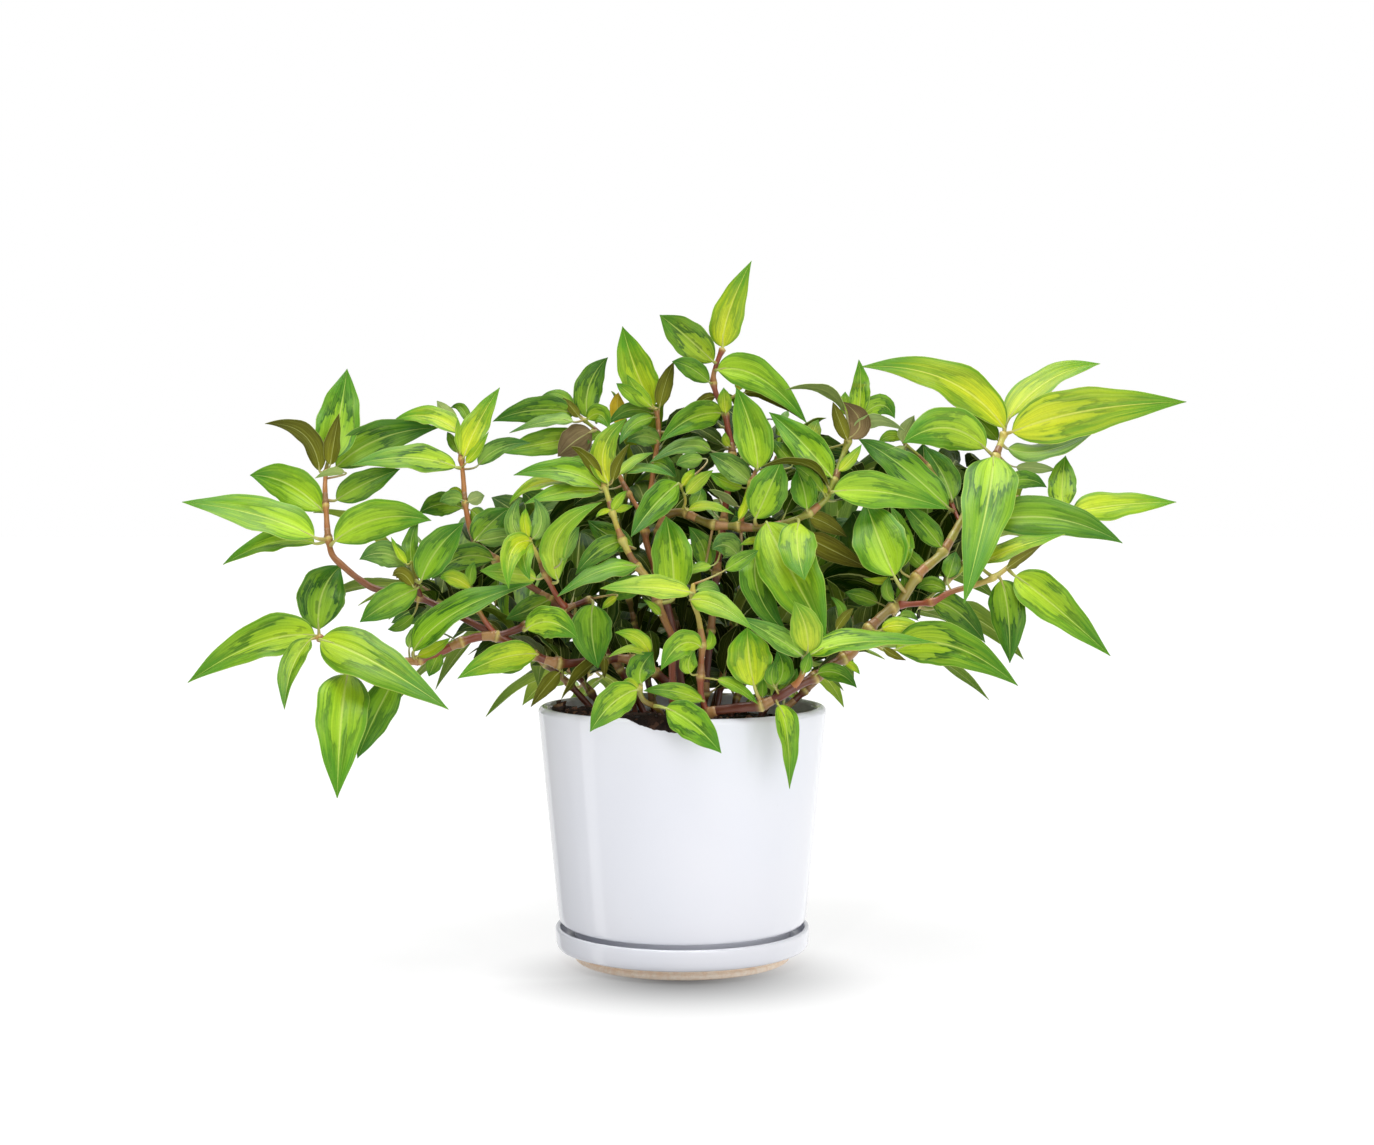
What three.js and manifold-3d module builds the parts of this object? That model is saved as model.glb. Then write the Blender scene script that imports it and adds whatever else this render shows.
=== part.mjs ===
// Potted Vietnamese coriander: a glazed pot on its saucer, filled with soil, and a leafy herb.
// Millimetres, +Z up, origin at the middle of the saucer's underside, front towards -Y.
import * as THREE from "three";
import { mergeVertices } from "three/addons/utils/BufferGeometryUtils.js";
import Module from "manifold-3d";

// Driving dimensions of the pot, the saucer and the soil
const POT_RIM_RADIUS = 70;
const POT_RIM_HEIGHT = 123.1;
const POT_SHOULDER_RADIUS = 60.5;
const POT_SHOULDER_HEIGHT = 22;
const POT_WALL = 5.3;
const POT_FLOOR = 5;
const POT_FLOOR_RADIUS = 48;
const DRAIN_RADIUS = 7;
const POT_COVE = 3;
const POT_COVE_HEIGHT = 1.7;
const POT_COVE_TOP = 6;
const RING_INNER_RADIUS = 46;
const RING_OUTER_RADIUS = 53;
const RING_HOLLOW = 6;
const RING_STEP = 8.4;
const RIM_LIP_STEPS = 4;
const SAUCER_RIM_RADIUS = 61.9;
const SAUCER_RIM_HEIGHT = 16;
const SAUCER_WALL = 2.5;
const SAUCER_FLOOR_HEIGHT = 8.5;
const FOOT_RADIUS = 51.5;
const FOOT_BOTTOM_RADIUS = 52.5;
const FOOT_HEIGHT = 5.3;
const SOIL_EDGE_HEIGHT = 112.5;
const SOIL_CROWN = 3;
const RIM_CLEARANCE_DEPTH = 60;
const LATHE_SIDES = 32;

// The pot's rounded bottom corner: radius, height above the step of its foot ring
const POT_CORNER = [[57.6, 0.2], [59.3, 0.9], [60.1, 2.4]];

// The saucer's outer corner: distance in from its rim, height above its foot
const SAUCER_CORNER = [[2.2, 0.4], [0.6, 2.2]];

// The saucer's hollow: distance in from its inner wall, height
const SAUCER_HOLLOW = [[0.8, 12.2], [2.4, 9.6], [4.4, SAUCER_FLOOR_HEIGHT]];

// The top of the soil from its edge to the middle: radius, share of its crown
const SOIL_SURFACE = [[46, 0.75], [22, 0.4], [0, 1]];

// Driving dimensions of the plant
const STEM_SIDES = 6;
const STEM_STEP = 12;
const GAP = 0.3;
const KEEL = 0.6;
const BLADE_LIFT = 0.1;
const BLADE_RISE = 0.72;
const BLADE_FULLNESS = 0.9;
const TIP_NARROWING = 0.25;
const NEAR_BASE = 0.02;
const PETIOLE_RADIUS = 0.7;
const SHORTEST_STALK = 1;
const WIDE_BLADE_RINGS = [0.13, 0.36, 0.62, 0.84];
const NARROW_BLADE_RINGS = [0.16, 0.46, 0.78];
const NARROW_BLADE = 14;
const NATURAL_RATIO = 0.34;
const WIDEST_TURNED = 24;
const OWN_NODE_WIDTH = 17;
const JOINED_WIDTH = 7;

// Where the plant is looked at from: its places are given as they are seen from the front
const EYE = new THREE.Vector3(2.26, -1000, 221.76);

// How far the tall parts lean back and the low outer parts come forward
const LEAN_BACK = 46;
const LEAN_BACK_HEIGHTS = [165, 300];
const LEAN_BACK_MIDDLE = 0.6;
const LEAN_BACK_SIDE = 0.6;
const LEAN_FORWARD = 30;
const LEAN_FORWARD_HEIGHTS = [85, 160];
const LEAN_FORWARD_SIDE = 1.6;
const LEAN_REACH = 200;

// Colours and roughness of everything but the leaves' faces
const STEM_COLOR = "#8a5a3c";
const SOIL_COLOR = "#2a1d15";
const GLAZE_COLOR = "#f1f3f6";
const LEAF_ROUGHNESS = 0.4;
const STEM_ROUGHNESS = 0.45;
const SOIL_ROUGHNESS = 0.95;
const GLAZE_ROUGHNESS = 0.12;

// Looks of the leaves: colour, and whether the underside faces the front
const LOOKS = {
  "lime": ["#a9c81f", false],
  "pale": ["#a5c653", false],
  "fresh": ["#6fa22b", false],
  "deep": ["#37691a", false],
  "glaucous": ["#5f8f5a", false],
  "olive": ["#6c6a2c", true],
  "mauve": ["#8a7460", true],
  "silver": ["#a3b89a", true],
  "tan": ["#b79c48", true],
};

// The shoots. A route's point is [x, z, y]: x and z as seen against the pot's mid-plane, y the depth.
// A leaf is base x, z, middle x, z, tip x, z, depth of base and tip, seen width, look.
const SHOOTS = [
  {
    "name": "left_runner",
    "stems": [
      [2.4, [[6, 101, -20], [-2, 128, -22], [-25, 145, -25], [-45, 144.5, -28], [-60, 143.5, -31],
        [-76, 149, -34], [-90, 156.5, -36], [-98, 156.5, -37], [-107, 154, -38], [-118, 149, -39],
        [-128, 145, -40], [-145, 145, -37], [-162, 149, -34], [-177, 156, -32]]],
      [2.0, [[-90, 156.5, -36], [-78, 161, -36], [-68, 166, -36], [-56, 170.5, -34], [-44, 175, -32]]],
      [1.6, [[-57, 170.5, -34.5], [-61, 176, -37], [-66, 186, -40], [-71, 197, -42], [-75, 204, -43]]],
      [1.9, [[-90, 156.5, -36], [-104, 164, -34], [-116, 170, -32], [-127, 175, -30], [-139, 178, -29],
        [-150, 180, -28], [-158, 185, -28], [-164, 190, -28], [-170, 196, -28], [-172, 204, -28],
        [-173, 217, -28], [-173.5, 230, -28], [-173, 237, -28]]],
      [1.5, [[-127, 175, -30], [-129, 181, -34], [-131, 188, -37], [-132, 193, -39]]],
      [1.4, [[-90, 156.5, -36], [-96, 164, -37], [-100, 171, -37], [-103, 180, -37]]],
    ],
    "leaves": [
      [-179, 157, -207, 153, -241, 134, -30, -25, 20, "fresh"],
      [-181, 155, -190, 141, -194, 121, -34, -44, 11, "fresh"],
      [-177, 160, -175, 178, -166, 191, -26, -12, 23, "deep"],
      [-176, 155, -150, 144, -114, 121, -40, -62, 24, "fresh"],
      [-163, 138, -166.5, 114, -168.5, 77.5, -32, -45, 26, "fresh"],
      [-139, 138, -150, 117, -158.5, 97, -32, -28, 17, "deep"],
      [-172, 242, -166.5, 263, -162.5, 286.5, -28, -20, 21, "fresh"],
      [-171, 240, -169, 252, -166.5, 265, -31, -35, 8, "olive"],
      [-176, 237, -184, 255, -202.5, 260, -30, -40, 10, "olive"],
      [-175, 218, -192, 231, -210, 235, -25, -14, 19, "fresh"],
      [-179, 205, -208, 216, -243, 222, -33, -42, 18, "fresh"],
      [-179, 202, -200, 202, -223.5, 191.5, -26, -18, 11, "fresh"],
      [-164, 236.5, -171, 236.5, -178.5, 233.5, -34, -37, 4, "silver"],
      [-168, 239, -146, 253, -118, 258, -22, -4, 19, "deep"],
      [-168, 223, -154, 231, -137, 238, -26, -16, 14, "deep"],
      [-169, 203, -147, 214, -122, 213, -33, -40, 20, "fresh"],
      [-127, 184, -119, 199, -106, 212, -42, -48, 17, "deep"],
      [-131, 190, -132, 202, -128, 214, -38, -36, 8, "deep"],
      [-134, 191, -145, 197, -157, 194, -38, -42, 13, "glaucous"],
      [-134, 192, -138, 198, -141.5, 205, -41, -43, 4, "lime"],
      [-129, 180, -143, 173, -157, 163.5, -37, -45, 15, "deep"],
      [-131, 181, -136, 187, -141, 186, -40, -43, 7, "olive"],
      [-131, 167, -137, 162, -143.5, 160, -31, -33, 6, "deep"],
      [-133, 151, -131, 157, -127, 164, -42, -36, 6, "glaucous"],
      [-131, 149.5, -109, 169, -73, 182.5, -46, -52, 14, "deep"],
      [-129, 147, -120, 151, -113, 156, -45, -47, 6, "lime"],
      [-118, 149, -121, 143, -123.5, 137, -40, -38, 8, "deep"],
      [-71, 148, -90, 145.5, -109.5, 136, -38, -52, 15, "lime"],
      [-76, 146, -82, 141, -89, 139, -34, -34, 5, "deep"],
      [-76, 160, -64, 163.5, -51, 155.5, -46, -54, 16, "fresh"],
      [-103, 180, -111, 185, -118, 185, -39, -42, 8, "lime"],
      [-103, 181, -103, 187, -101, 193, -39, -40, 6, "deep"],
      [-77, 204, -82.5, 212, -79, 224, -43, -40, 9, "glaucous"],
      [-73, 204, -68.5, 213, -72, 224, -43, -40, 9, "glaucous"],
      [-75, 204, -76.5, 212, -76, 219, -46, -48, 6, "lime"],
      [-74, 203, -83, 198, -84.5, 180, -46, -62, 12, "lime"],
      [-73, 202, -77, 195, -74, 184, -44, -52, 9, "fresh"],
      [-71, 184.5, -84, 187.5, -98.5, 188.5, -43, -50, 12, "pale"],
      [-71, 200, -68, 204, -65, 209, -40, -38, 5, "deep"],
      [-60.5, 184, -60, 206, -39, 222, -42, -58, 13, "pale"],
      [-59, 193, -55, 203, -50, 210, -46, -50, 8, "glaucous"],
      [-43.5, 172, -44, 158, -41, 141, -38, -48, 20, "deep"],
      [-37, 147, -49, 139, -59, 126, -32, -58, 6, "olive"],
      [-60, 139, -66, 132.5, -74, 122, -32, -36, 8, "olive"],
      [-32, 176, -36, 173, -39, 170, -36, -40, 4, "lime"],
      [-38, 146, -38, 142, -38, 136, -34, -34, 4, "olive"],
    ],
  },
  {
    "name": "centre_left",
    "stems": [
      [2.0, [[-4, 101, -33], [-5, 140, -33], [-5, 156, -34], [-8, 163, -35], [-12, 173, -37],
        [-18, 186, -39], [-23, 192, -40], [-27, 199, -41], [-31, 208, -42], [-34, 217, -43],
        [-36, 224, -43], [-38, 231, -43]]],
    ],
    "leaves": [
      [-40, 229, -58, 237, -82, 235, -43, -36, 13, "fresh"],
      [-40, 227, -58, 226.5, -77, 221, -42, -38, 9, "fresh"],
      [-52, 232, -72, 230, -84, 221, -36, -30, 6, "lime"],
      [-36, 231, -38, 248, -27, 262.5, -46, -42, 13, "lime"],
      [-39, 232, -46, 243, -54, 249, -44, -48, 6, "olive"],
      [-33, 218, -29, 219, -24, 220, -44, -45, 4, "lime"],
      [-34, 218, -31, 223, -27, 227.5, -45, -47, 5, "fresh"],
      [-35, 218, -39, 217, -42, 214.5, -45, -47, 3, "lime"],
      [-31, 235, -24, 242, -14, 246, -40, -35, 5, "fresh"],
      [-31, 236, -18, 238.5, -4, 234, -38, -34, 5, "deep"],
      [-34, 232, -31, 241, -26, 250, -47, -46, 5, "olive"],
      [-46, 242, -52, 242, -60, 239.5, -38, -36, 4, "deep"],
      [-29, 203, -41, 198, -52, 186.5, -38, -42, 11, "deep"],
      [-22, 191, -41, 188, -61, 176, -44, -56, 9, "deep"],
      [-4, 176, -5, 196, -8, 215, -38, -30, 20, "fresh"],
      [-11, 167, -14, 171, -19, 174.5, -39, -41, 4, "fresh"],
      [-24, 200, -36, 206, -46, 213, -30, -22, 12, "deep"],
      [-18, 184, -28, 180, -38, 176, -30, -26, 11, "deep"],
    ],
  },
  {
    "name": "right_runner",
    "stems": [
      [2.6, [[-2, 100, -44], [6, 114, -52], [14, 119.5, -58], [25, 121.5, -61], [38, 123, -63],
        [46, 126.5, -63], [54, 131.5, -62], [60, 134.5, -60], [66, 137.5, -58], [74, 143.5, -55],
        [82, 148, -52], [88, 157, -49], [94, 163.5, -46], [100, 169, -43], [104.8, 172, -41],
        [115, 187, -38], [126, 197, -35], [135, 212, -32], [145, 229, -30], [152, 244, -29],
        [156, 255, -28]]],
      [1.6, [[54, 131.5, -62], [58, 137, -64], [61, 147, -66]]],
      [1.7, [[12, 118.5, -57], [9, 129, -59], [9.2, 143, -60], [9.6, 152, -60], [9, 159, -59],
        [7.5, 167, -58], [5, 174, -58], [5.3, 182, -58]]],
      [1.6, [[104.8, 172, -41], [114, 172.5, -43], [122, 173.5, -45], [130, 178, -46],
        [140, 181, -47], [150, 184.5, -49], [158, 190, -50], [166, 197, -51]]],
      [1.4, [[138, 217, -31], [150, 221, -28], [163, 223.5, -26], [176, 221.5, -24], [187, 219, -22]]],
      [1.2, [[135, 212, -32], [128, 226, -26], [118, 241, -26], [113, 246, -27], [108, 250, -28]]],
    ],
    "leaves": [
      [35, 132.5, 32.5, 147, 31.5, 161, -66, -62, 22, "lime"],
      [44.5, 133, 43.5, 138, 45, 144, -67, -67, 7, "deep"],
      [46, 133, 49, 141, 46, 150, -58, -52, 11, "deep"],
      [39, 127, 39, 131, 39, 137, -60, -58, 5, "deep"],
      [47, 128, 52, 134, 56, 141, -58, -54, 8, "deep"],
      [61, 149, 60, 161, 54.5, 173.5, -70, -78, 16, "pale"],
      [58.5, 147, 44, 157, 27, 166, -69, -70, 11, "glaucous"],
      [62, 147, 85, 153.5, 124, 153.5, -70, -66, 11, "fresh"],
      [59, 139, 60.5, 143, 62, 149, -71, -73, 6, "deep"],
      [66, 138.5, 76, 138.5, 85, 131.5, -64, -70, 9, "deep"],
      [79, 144, 83, 142, 86.5, 138, -54, -54, 4, "lime"],
      [47, 123, 51, 108, 52.3, 82, -67, -70, 11, "fresh"],
      [17, 135.5, 27, 131.5, 37, 123.5, -65, -68, 6, "fresh"],
      [10, 125, -5, 130, -19, 130, -62, -56, 9, "fresh"],
      [9, 151.5, -1, 152.5, -10.5, 140, -63, -73, 13, "fresh"],
      [4, 138.5, 3, 144, 6, 150, -63, -64, 9, "fresh"],
      [10.5, 151, 14, 154, 13, 160, -58, -56, 5, "fresh"],
      [4, 178, -17, 180.5, -40, 180, -62, -72, 11, "pale"],
      [4, 174.5, 18, 171.5, 34, 160, -63, -80, 12, "pale"],
      [7, 179, 13, 181, 18.5, 178, -55, -50, 6, "glaucous"],
      [21, 189, 29, 194, 37, 198.5, -56, -52, 8, "deep"],
      [97, 160, 109, 161.5, 124, 153.5, -56, -62, 9, "lime"],
      [98, 151, 103, 147.5, 109, 145, -60, -60, 4, "olive"],
      [75, 160, 79, 166, 83.5, 170.5, -50, -48, 5, "olive"],
      [77, 163, 77.5, 170, 72, 176, -48, -46, 5, "deep"],
      [95, 173, 87, 176, 79, 178, -34, -30, 8, "deep"],
      [104, 150, 131, 152, 163.5, 132.5, -60, -68, 22, "fresh"],
      [106, 166, 110, 167.5, 115, 164, -48, -50, 4, "glaucous"],
      [103, 186, 96, 203, 89, 222, -50, -38, 26, "fresh"],
      [106, 190, 107, 206, 101, 220, -40, -34, 10, "fresh"],
      [104, 175, 108, 181, 107, 187, -38, -36, 6, "deep"],
      [103, 174, 99.5, 179, 101, 186, -44, -46, 6, "deep"],
      [101, 184.5, 95, 183.5, 88, 185, -44, -42, 4, "lime"],
      [118, 190, 112, 195, 108, 201, -34, -32, 6, "deep"],
      [131, 223, 126, 236, 117, 249, -30, -22, 15, "deep"],
      [126, 200, 117, 211, 106.5, 221.5, -37, -42, 11, "deep"],
      [147, 248, 128, 258, 107, 250.5, -33, -42, 21, "fresh"],
      [153, 252, 147, 259, 140, 265, -20, -14, 8, "deep"],
      [156, 258, 127, 281.5, 86.5, 287.5, -29, -25, 19, "lime"],
      [158, 262, 178, 281, 202.5, 289, -25, -17, 13, "lime"],
      [160, 256, 198, 266.5, 244.5, 270.5, -31, -30, 25, "lime"],
      [158, 248, 177, 247, 201, 257, -25, -20, 9, "glaucous"],
      [151, 244, 147.5, 218, 137, 172.5, -36, -62, 27, "fresh"],
      [129, 219.5, 105, 240.5, 85.5, 252.5, -34, -28, 16, "deep"],
      [107, 251, 109, 257, 112.5, 264, -30, -34, 8, "silver"],
      [106, 252, 101, 254, 95, 250.5, -27, -26, 6, "fresh"],
      [108, 249, 104, 247, 98.5, 247, -29, -30, 4, "silver"],
      [158, 230, 167, 233, 177, 229, -26, -22, 9, "deep"],
      [149, 212, 181, 214, 214, 202, -36, -42, 20, "deep"],
      [146, 192, 163, 200, 186, 206.5, -46, -42, 9, "lime"],
      [185, 219, 184.5, 231, 186, 244.5, -22, -18, 14, "fresh"],
      [190, 217, 212, 220.5, 240, 222, -20, -16, 14, "lime"],
      [162, 239, 172, 238.5, 181.5, 237.5, -22, -18, 6, "silver"],
      [154, 221, 165, 219.5, 177, 217.5, -30, -28, 7, "deep"],
      [162, 186, 181, 171.5, 208.5, 147, -52, -60, 20, "fresh"],
      [155, 184, 158.5, 168, 159.5, 143.5, -51, -54, 18, "deep"],
      [121, 174, 134, 168.5, 147.5, 153.5, -42, -38, 14, "deep"],
      [129, 185, 131, 191, 133, 198, -43, -40, 9, "deep"],
      [128, 179, 121, 182, 114, 180, -40, -34, 8, "deep"],
      [158, 190, 165, 195, 175, 201.5, -52, -54, 5, "olive"],
    ],
  },
  {
    "name": "mid_right",
    "stems": [
      [2.3, [[3, 106, -6], [-3, 150, -8], [-9, 180, -10], [-12, 203, -14], [-8, 215, -18],
        [0, 217, -22], [8, 213.5, -25], [15, 211, -28], [28, 210, -32], [40, 209.5, -37],
        [54, 213, -41], [62, 217, -43], [70, 224, -44], [73, 230, -44], [76, 239, -43],
        [80, 250, -42], [81.5, 255, -42]]],
      [1.5, [[28, 210, -32], [30, 220, -34], [33, 230, -35], [36, 238, -36]]],
      [0.9, [[0, 217, -22], [1.5, 223, -28], [-1, 230, -34]]],
    ],
    "leaves": [
      [-2, 231, -14, 220, -25, 205, -36, -54, 15, "deep"],
      [2, 226, 8, 232, 15, 237.5, -34, -40, 7, "pale"],
      [0, 230, 3, 234, 6, 238, -34, -36, 5, "lime"],
      [11, 190, 10, 200, 3, 210, -22, -24, 11, "deep"],
      [27, 196, 21, 201, 14.5, 199, -30, -36, 13, "glaucous"],
      [14, 191, 6, 189, -4, 186, -30, -34, 5, "fresh"],
      [3, 218, 13, 219.5, 25, 216, -28, -34, 5, "lime"],
      [10, 243, 3, 242, -3, 240, -22, -26, 8, "glaucous"],
      [4, 219, 8, 224, 9, 229, -22, -20, 8, "deep"],
      [33, 231, 24, 239, 13, 245.5, -33, -26, 12, "glaucous"],
      [29, 229, 21, 232, 13, 236, -28, -22, 8, "fresh"],
      [27, 220, 20, 225, 13, 228, -28, -24, 4, "silver"],
      [35.5, 214, 42, 228, 48, 242, -40, -50, 19, "fresh"],
      [27.5, 213.5, 30.5, 221, 32, 230, -37, -38, 4, "lime"],
      [36.5, 238, 34, 256, 26, 277.5, -38, -36, 19, "fresh"],
      [72.5, 234, 58, 251, 42, 265.5, -46, -34, 16, "fresh"],
      [53, 241, 49, 246, 44, 252, -38, -34, 8, "deep"],
      [62, 250, 63.5, 256, 66, 262, -26, -20, 8, "lime"],
      [71, 229.5, 58, 241, 38, 239, -50, -56, 5, "olive"],
      [60.5, 218.5, 59, 228, 55.5, 238, -47, -46, 13, "deep"],
      [68, 227, 61, 235, 54, 240, -50, -48, 7, "deep"],
      [70, 226, 68.5, 229, 67, 232, -46, -48, 3, "lime"],
      [73.5, 227, 99, 226.5, 129, 218.5, -48, -44, 18, "fresh"],
      [80, 252, 76, 262, 73, 270.5, -46, -52, 7, "olive"],
      [81, 253, 86, 261, 78, 270.5, -45, -48, 11, "mauve"],
      [83, 254, 93, 261.5, 108, 256.5, -43, -50, 7, "silver"],
      [86, 262, 96, 269, 103, 262.5, -38, -36, 11, "fresh"],
      [85, 262, 86.5, 277, 85.5, 291, -42, -38, 10, "fresh"],
      [79, 266, 68, 276.5, 50, 276.5, -40, -30, 5, "silver"],
      [80, 264, 79, 270, 79, 275.5, -36, -34, 6, "fresh"],
      [76, 237, 82, 243, 87, 250, -45, -46, 6, "lime"],
      [62, 214.5, 70, 211.5, 80, 205, -38, -30, 9, "olive"],
      [60, 205, 74, 198, 91, 189.5, -32, -28, 12, "olive"],
      [56.5, 212, 56, 200, 59.5, 184, -49, -68, 19, "fresh"],
      [41, 212, 54, 186, 70, 156.5, -42, -62, 29, "fresh"],
      [37, 200, 37, 178, 52, 157, -38, -50, 16, "deep"],
      [38, 203.5, 33, 203, 28, 201, -38, -42, 4, "lime"],
    ],
  },
  {
    "name": "crown_top",
    "stems": [
      [2.0, [[9, 106, 2], [13, 150, 4], [17, 190, 5], [21, 220, 5], [24, 240, 5], [24, 249, 5],
        [22, 258, 5], [20.5, 266, 5], [16.5, 274, 5], [15, 282, 5], [17, 290, 5], [19.5, 296, 5]]],
    ],
    "leaves": [
      [19.5, 297, 23, 315, 33.5, 338.6, 4, 8, 16, "lime"],
      [15, 290, 2, 302, -11, 312.5, 3, -2, 17, "fresh"],
      [13, 280, 4, 287, -5, 290, 2, -4, 10, "deep"],
      [17, 286, 38, 282, 60.5, 260, 2, -8, 17, "fresh"],
      [30, 275, 42, 273, 58, 262, 4, 2, 7, "olive"],
      [27, 276, 28, 281, 28.5, 288, 0, 0, 5, "lime"],
      [21, 265, 20.5, 271, 20, 277.5, 2, 0, 7, "lime"],
      [16, 273, 11, 272, 5, 268, 6, 6, 5, "olive"],
      [19, 265, 4, 262.5, -11, 251, 3, -14, 14, "fresh"],
      [14, 247, 1, 249, -16, 241, 0, -10, 8, "glaucous"],
      [23, 249, 21, 252, 21, 256, 3, 2, 4, "lime"],
    ],
  },
  {
    "name": "crown_left",
    "stems": [
      [1.9, [[-4, 106, 14], [-6, 160, 12], [-13, 188, 11], [-18, 206, 12], [-15, 230, 13],
        [-12.5, 248, 13], [-11.5, 256, 13], [-12.5, 267, 13]]],
      [1.4, [[-17, 212, 12], [-26, 226, 14], [-33, 240, 15], [-38, 253, 15], [-48, 262, 15]]],
    ],
    "leaves": [
      [-14, 268, -22.5, 286, -29, 307, 12, 16, 18, "lime"],
      [-17, 268, -26, 275, -32, 279.5, 9, 4, 7, "fresh"],
      [-11, 268, -8, 280, -4, 290, 10, 10, 8, "olive"],
      [-15, 268, -22, 276, -27, 284, 7, 6, 7, "fresh"],
      [-30, 259, -31.5, 268, -31, 275, 16, 18, 8, "tan"],
      [-14, 263, -24, 259, -30.5, 250, 10, 0, 8, "deep"],
      [-15, 265, -26, 266.5, -36, 259.5, 14, 12, 8, "deep"],
      [-11, 251, -19, 254, -27, 251, 12, 8, 10, "glaucous"],
      [-14, 241, -9, 240, -3, 234, 6, 0, 9, "deep"],
      [-44, 256, -52, 251.5, -60.5, 244, 8, 4, 15, "mauve"],
      [-50, 263, -54, 268, -58, 272.5, 14, 14, 5, "olive"],
      [-46, 263, -45, 279, -36, 292, 15, 22, 14, "deep"],
      [-52, 266, -59, 274, -68, 273.5, 18, 18, 5, "deep"],
      [-46, 262, -40, 264.5, -35.5, 257.5, 13, 10, 10, "fresh"],
      [-52, 265, -72, 266.5, -92, 261, 16, 10, 14, "deep"],
      [-53, 261, -66, 261, -84, 255.5, 11, 8, 6, "glaucous"],
      [-48, 254, -70, 250, -88, 246, 12, 10, 13, "fresh"],
      [-39, 255, -43, 254, -46, 250, 11, 9, 4, "deep"],
    ],
  },
  {
    "name": "tall_left",
    "stems": [
      [1.9, [[-12, 106, 2], [-30, 140, 0], [-48, 160, -4], [-64, 174, -8], [-78, 184, -12],
        [-91, 194, -15], [-101, 204, -17], [-105, 218, -18], [-106.5, 235, -18], [-108, 250, -18]]],
    ],
    "leaves": [
      [-106, 244, -99, 260, -88.5, 277.5, -20, -14, 13, "lime"],
      [-108, 255, -123, 263.5, -140, 261.5, -18, -12, 10, "lime"],
      [-110, 239, -134, 243.5, -161, 239.5, -20, -36, 13, "fresh"],
      [-108, 246, -108.5, 254, -109, 263, -21, -22, 4, "pale"],
      [-99, 240, -88, 248.5, -73.5, 250.5, -20, -28, 9, "glaucous"],
      [-109, 246, -112, 252, -114, 256, -15, -12, 5, "deep"],
      [-110, 260, -115, 266, -119, 271, -14, -8, 7, "silver"],
      [-104, 260, -107, 267.5, -112.5, 267.5, -12, -8, 5, "deep"],
      [-105, 241, -100, 247, -94, 256, -23, -25, 5, "lime"],
      [-107, 219, -117, 221, -128, 216.5, -14, -8, 12, "deep"],
      [-107, 223, -112, 224, -118, 222, -21, -24, 8, "glaucous"],
      [-104, 222, -100, 224, -96, 225, -20, -20, 7, "silver"],
      [-103, 218, -99, 214, -98, 206, -14, -18, 9, "deep"],
      [-101, 203, -94, 211, -84, 219, -20, -16, 15, "deep"],
      [-99, 203, -89, 205, -80, 206, -22, -22, 9, "glaucous"],
      [-107, 225, -110, 228, -114, 227, -14, -14, 3, "lime"],
      [-92, 194, -108, 195, -122, 184, -18, -22, 13, "deep"],
      [-64, 175, -74, 170, -86, 165, -10, -14, 12, "deep"],
    ],
  },
  {
    "name": "front_low",
    "stems": [
      [1.5, [[-6, 100, -49], [-9, 116, -58], [-13, 122, -65], [-19, 125.5, -68], [-21, 131, -68],
        [-19, 140, -64], [-16, 147.5, -61]]],
    ],
    "leaves": [
      [-22, 130.5, -34, 124, -45, 110, -72, -84, 16, "fresh"],
      [-21.5, 131.5, -25, 134, -28.5, 135, -70, -72, 5, "lime"],
      [-20, 133.5, -20, 141, -14, 149, -69, -62, 14, "deep"],
      [-8, 121.5, 5, 114, 19, 99.5, -76, -86, 17, "fresh"],
      [-16, 148, -22, 156, -33, 158.5, -61, -64, 8, "lime"],
      [-17, 148, -26, 150, -36, 146.5, -62, -66, 4, "pale"],
    ],
  },
];

// Shoots on the far side, with leaves set round them by rule: leaf length, route of [x, z, y] as above
const BACK_SHOOTS = [
  {
    "name": "back_centre",
    "length": 54,
    "route": [[0, 104, 24], [2, 140, 40], [-4, 170, 60], [-6, 195, 80], [-2, 213, 98]],
  },
  {
    "name": "back_left",
    "length": 52,
    "route": [[-20, 104, 18], [-27, 135, 36], [-42, 160, 60], [-55, 180, 82], [-62, 194, 102]],
  },
  {
    "name": "back_right",
    "length": 54,
    "route": [[19, 104, 22], [32, 140, 40], [48, 165, 60], [62, 185, 78], [74, 201, 95]],
  },
  {
    "name": "left_back",
    "length": 48,
    "route": [[-28, 104, 12], [-50, 136, 30], [-76, 158, 50], [-96, 172, 68], [-110, 182, 80]],
  },
  {
    "name": "right_back",
    "length": 50,
    "route": [[28, 104, 14], [54, 138, 30], [82, 164, 50], [104, 186, 66], [120, 204, 76]],
  },
  {
    "name": "left_side",
    "length": 50,
    "route": [[-30, 104, 2], [-58, 136, 5], [-88, 158, 10], [-114, 172, 16], [-132, 184, 20]],
  },
  {
    "name": "right_side",
    "length": 50,
    "route": [[32, 104, 0], [62, 132, 4], [92, 156, 10], [120, 176, 16], [142, 196, 20]],
  },
  {
    "name": "trailing_left",
    "length": 50,
    "route": [[-14, 104, 34], [-26, 135, 62], [-38, 141, 92], [-46, 138, 116], [-50, 130, 136]],
  },
  {
    "name": "trailing_right",
    "length": 50,
    "route": [[10, 104, 36], [20, 136, 62], [34, 146, 92], [50, 147, 116], [62, 142, 132]],
  },
  {
    "name": "tall_right",
    "length": 46,
    "route": [[14, 104, 14], [22, 150, 22], [32, 190, 30], [40, 222, 38], [46, 244, 44]],
  },
  {
    "name": "tall_middle",
    "length": 46,
    "route": [[-10, 104, 24], [-20, 150, 32], [-28, 190, 44], [-28, 222, 56], [-26, 240, 64]],
  },
];
const BACK_STEM_RADIUS = 1.8;
const BACK_LEAVES = 9;
const KEPT_SHARE = 0.6;
const BARE_SHARE = 0.4;
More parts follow.
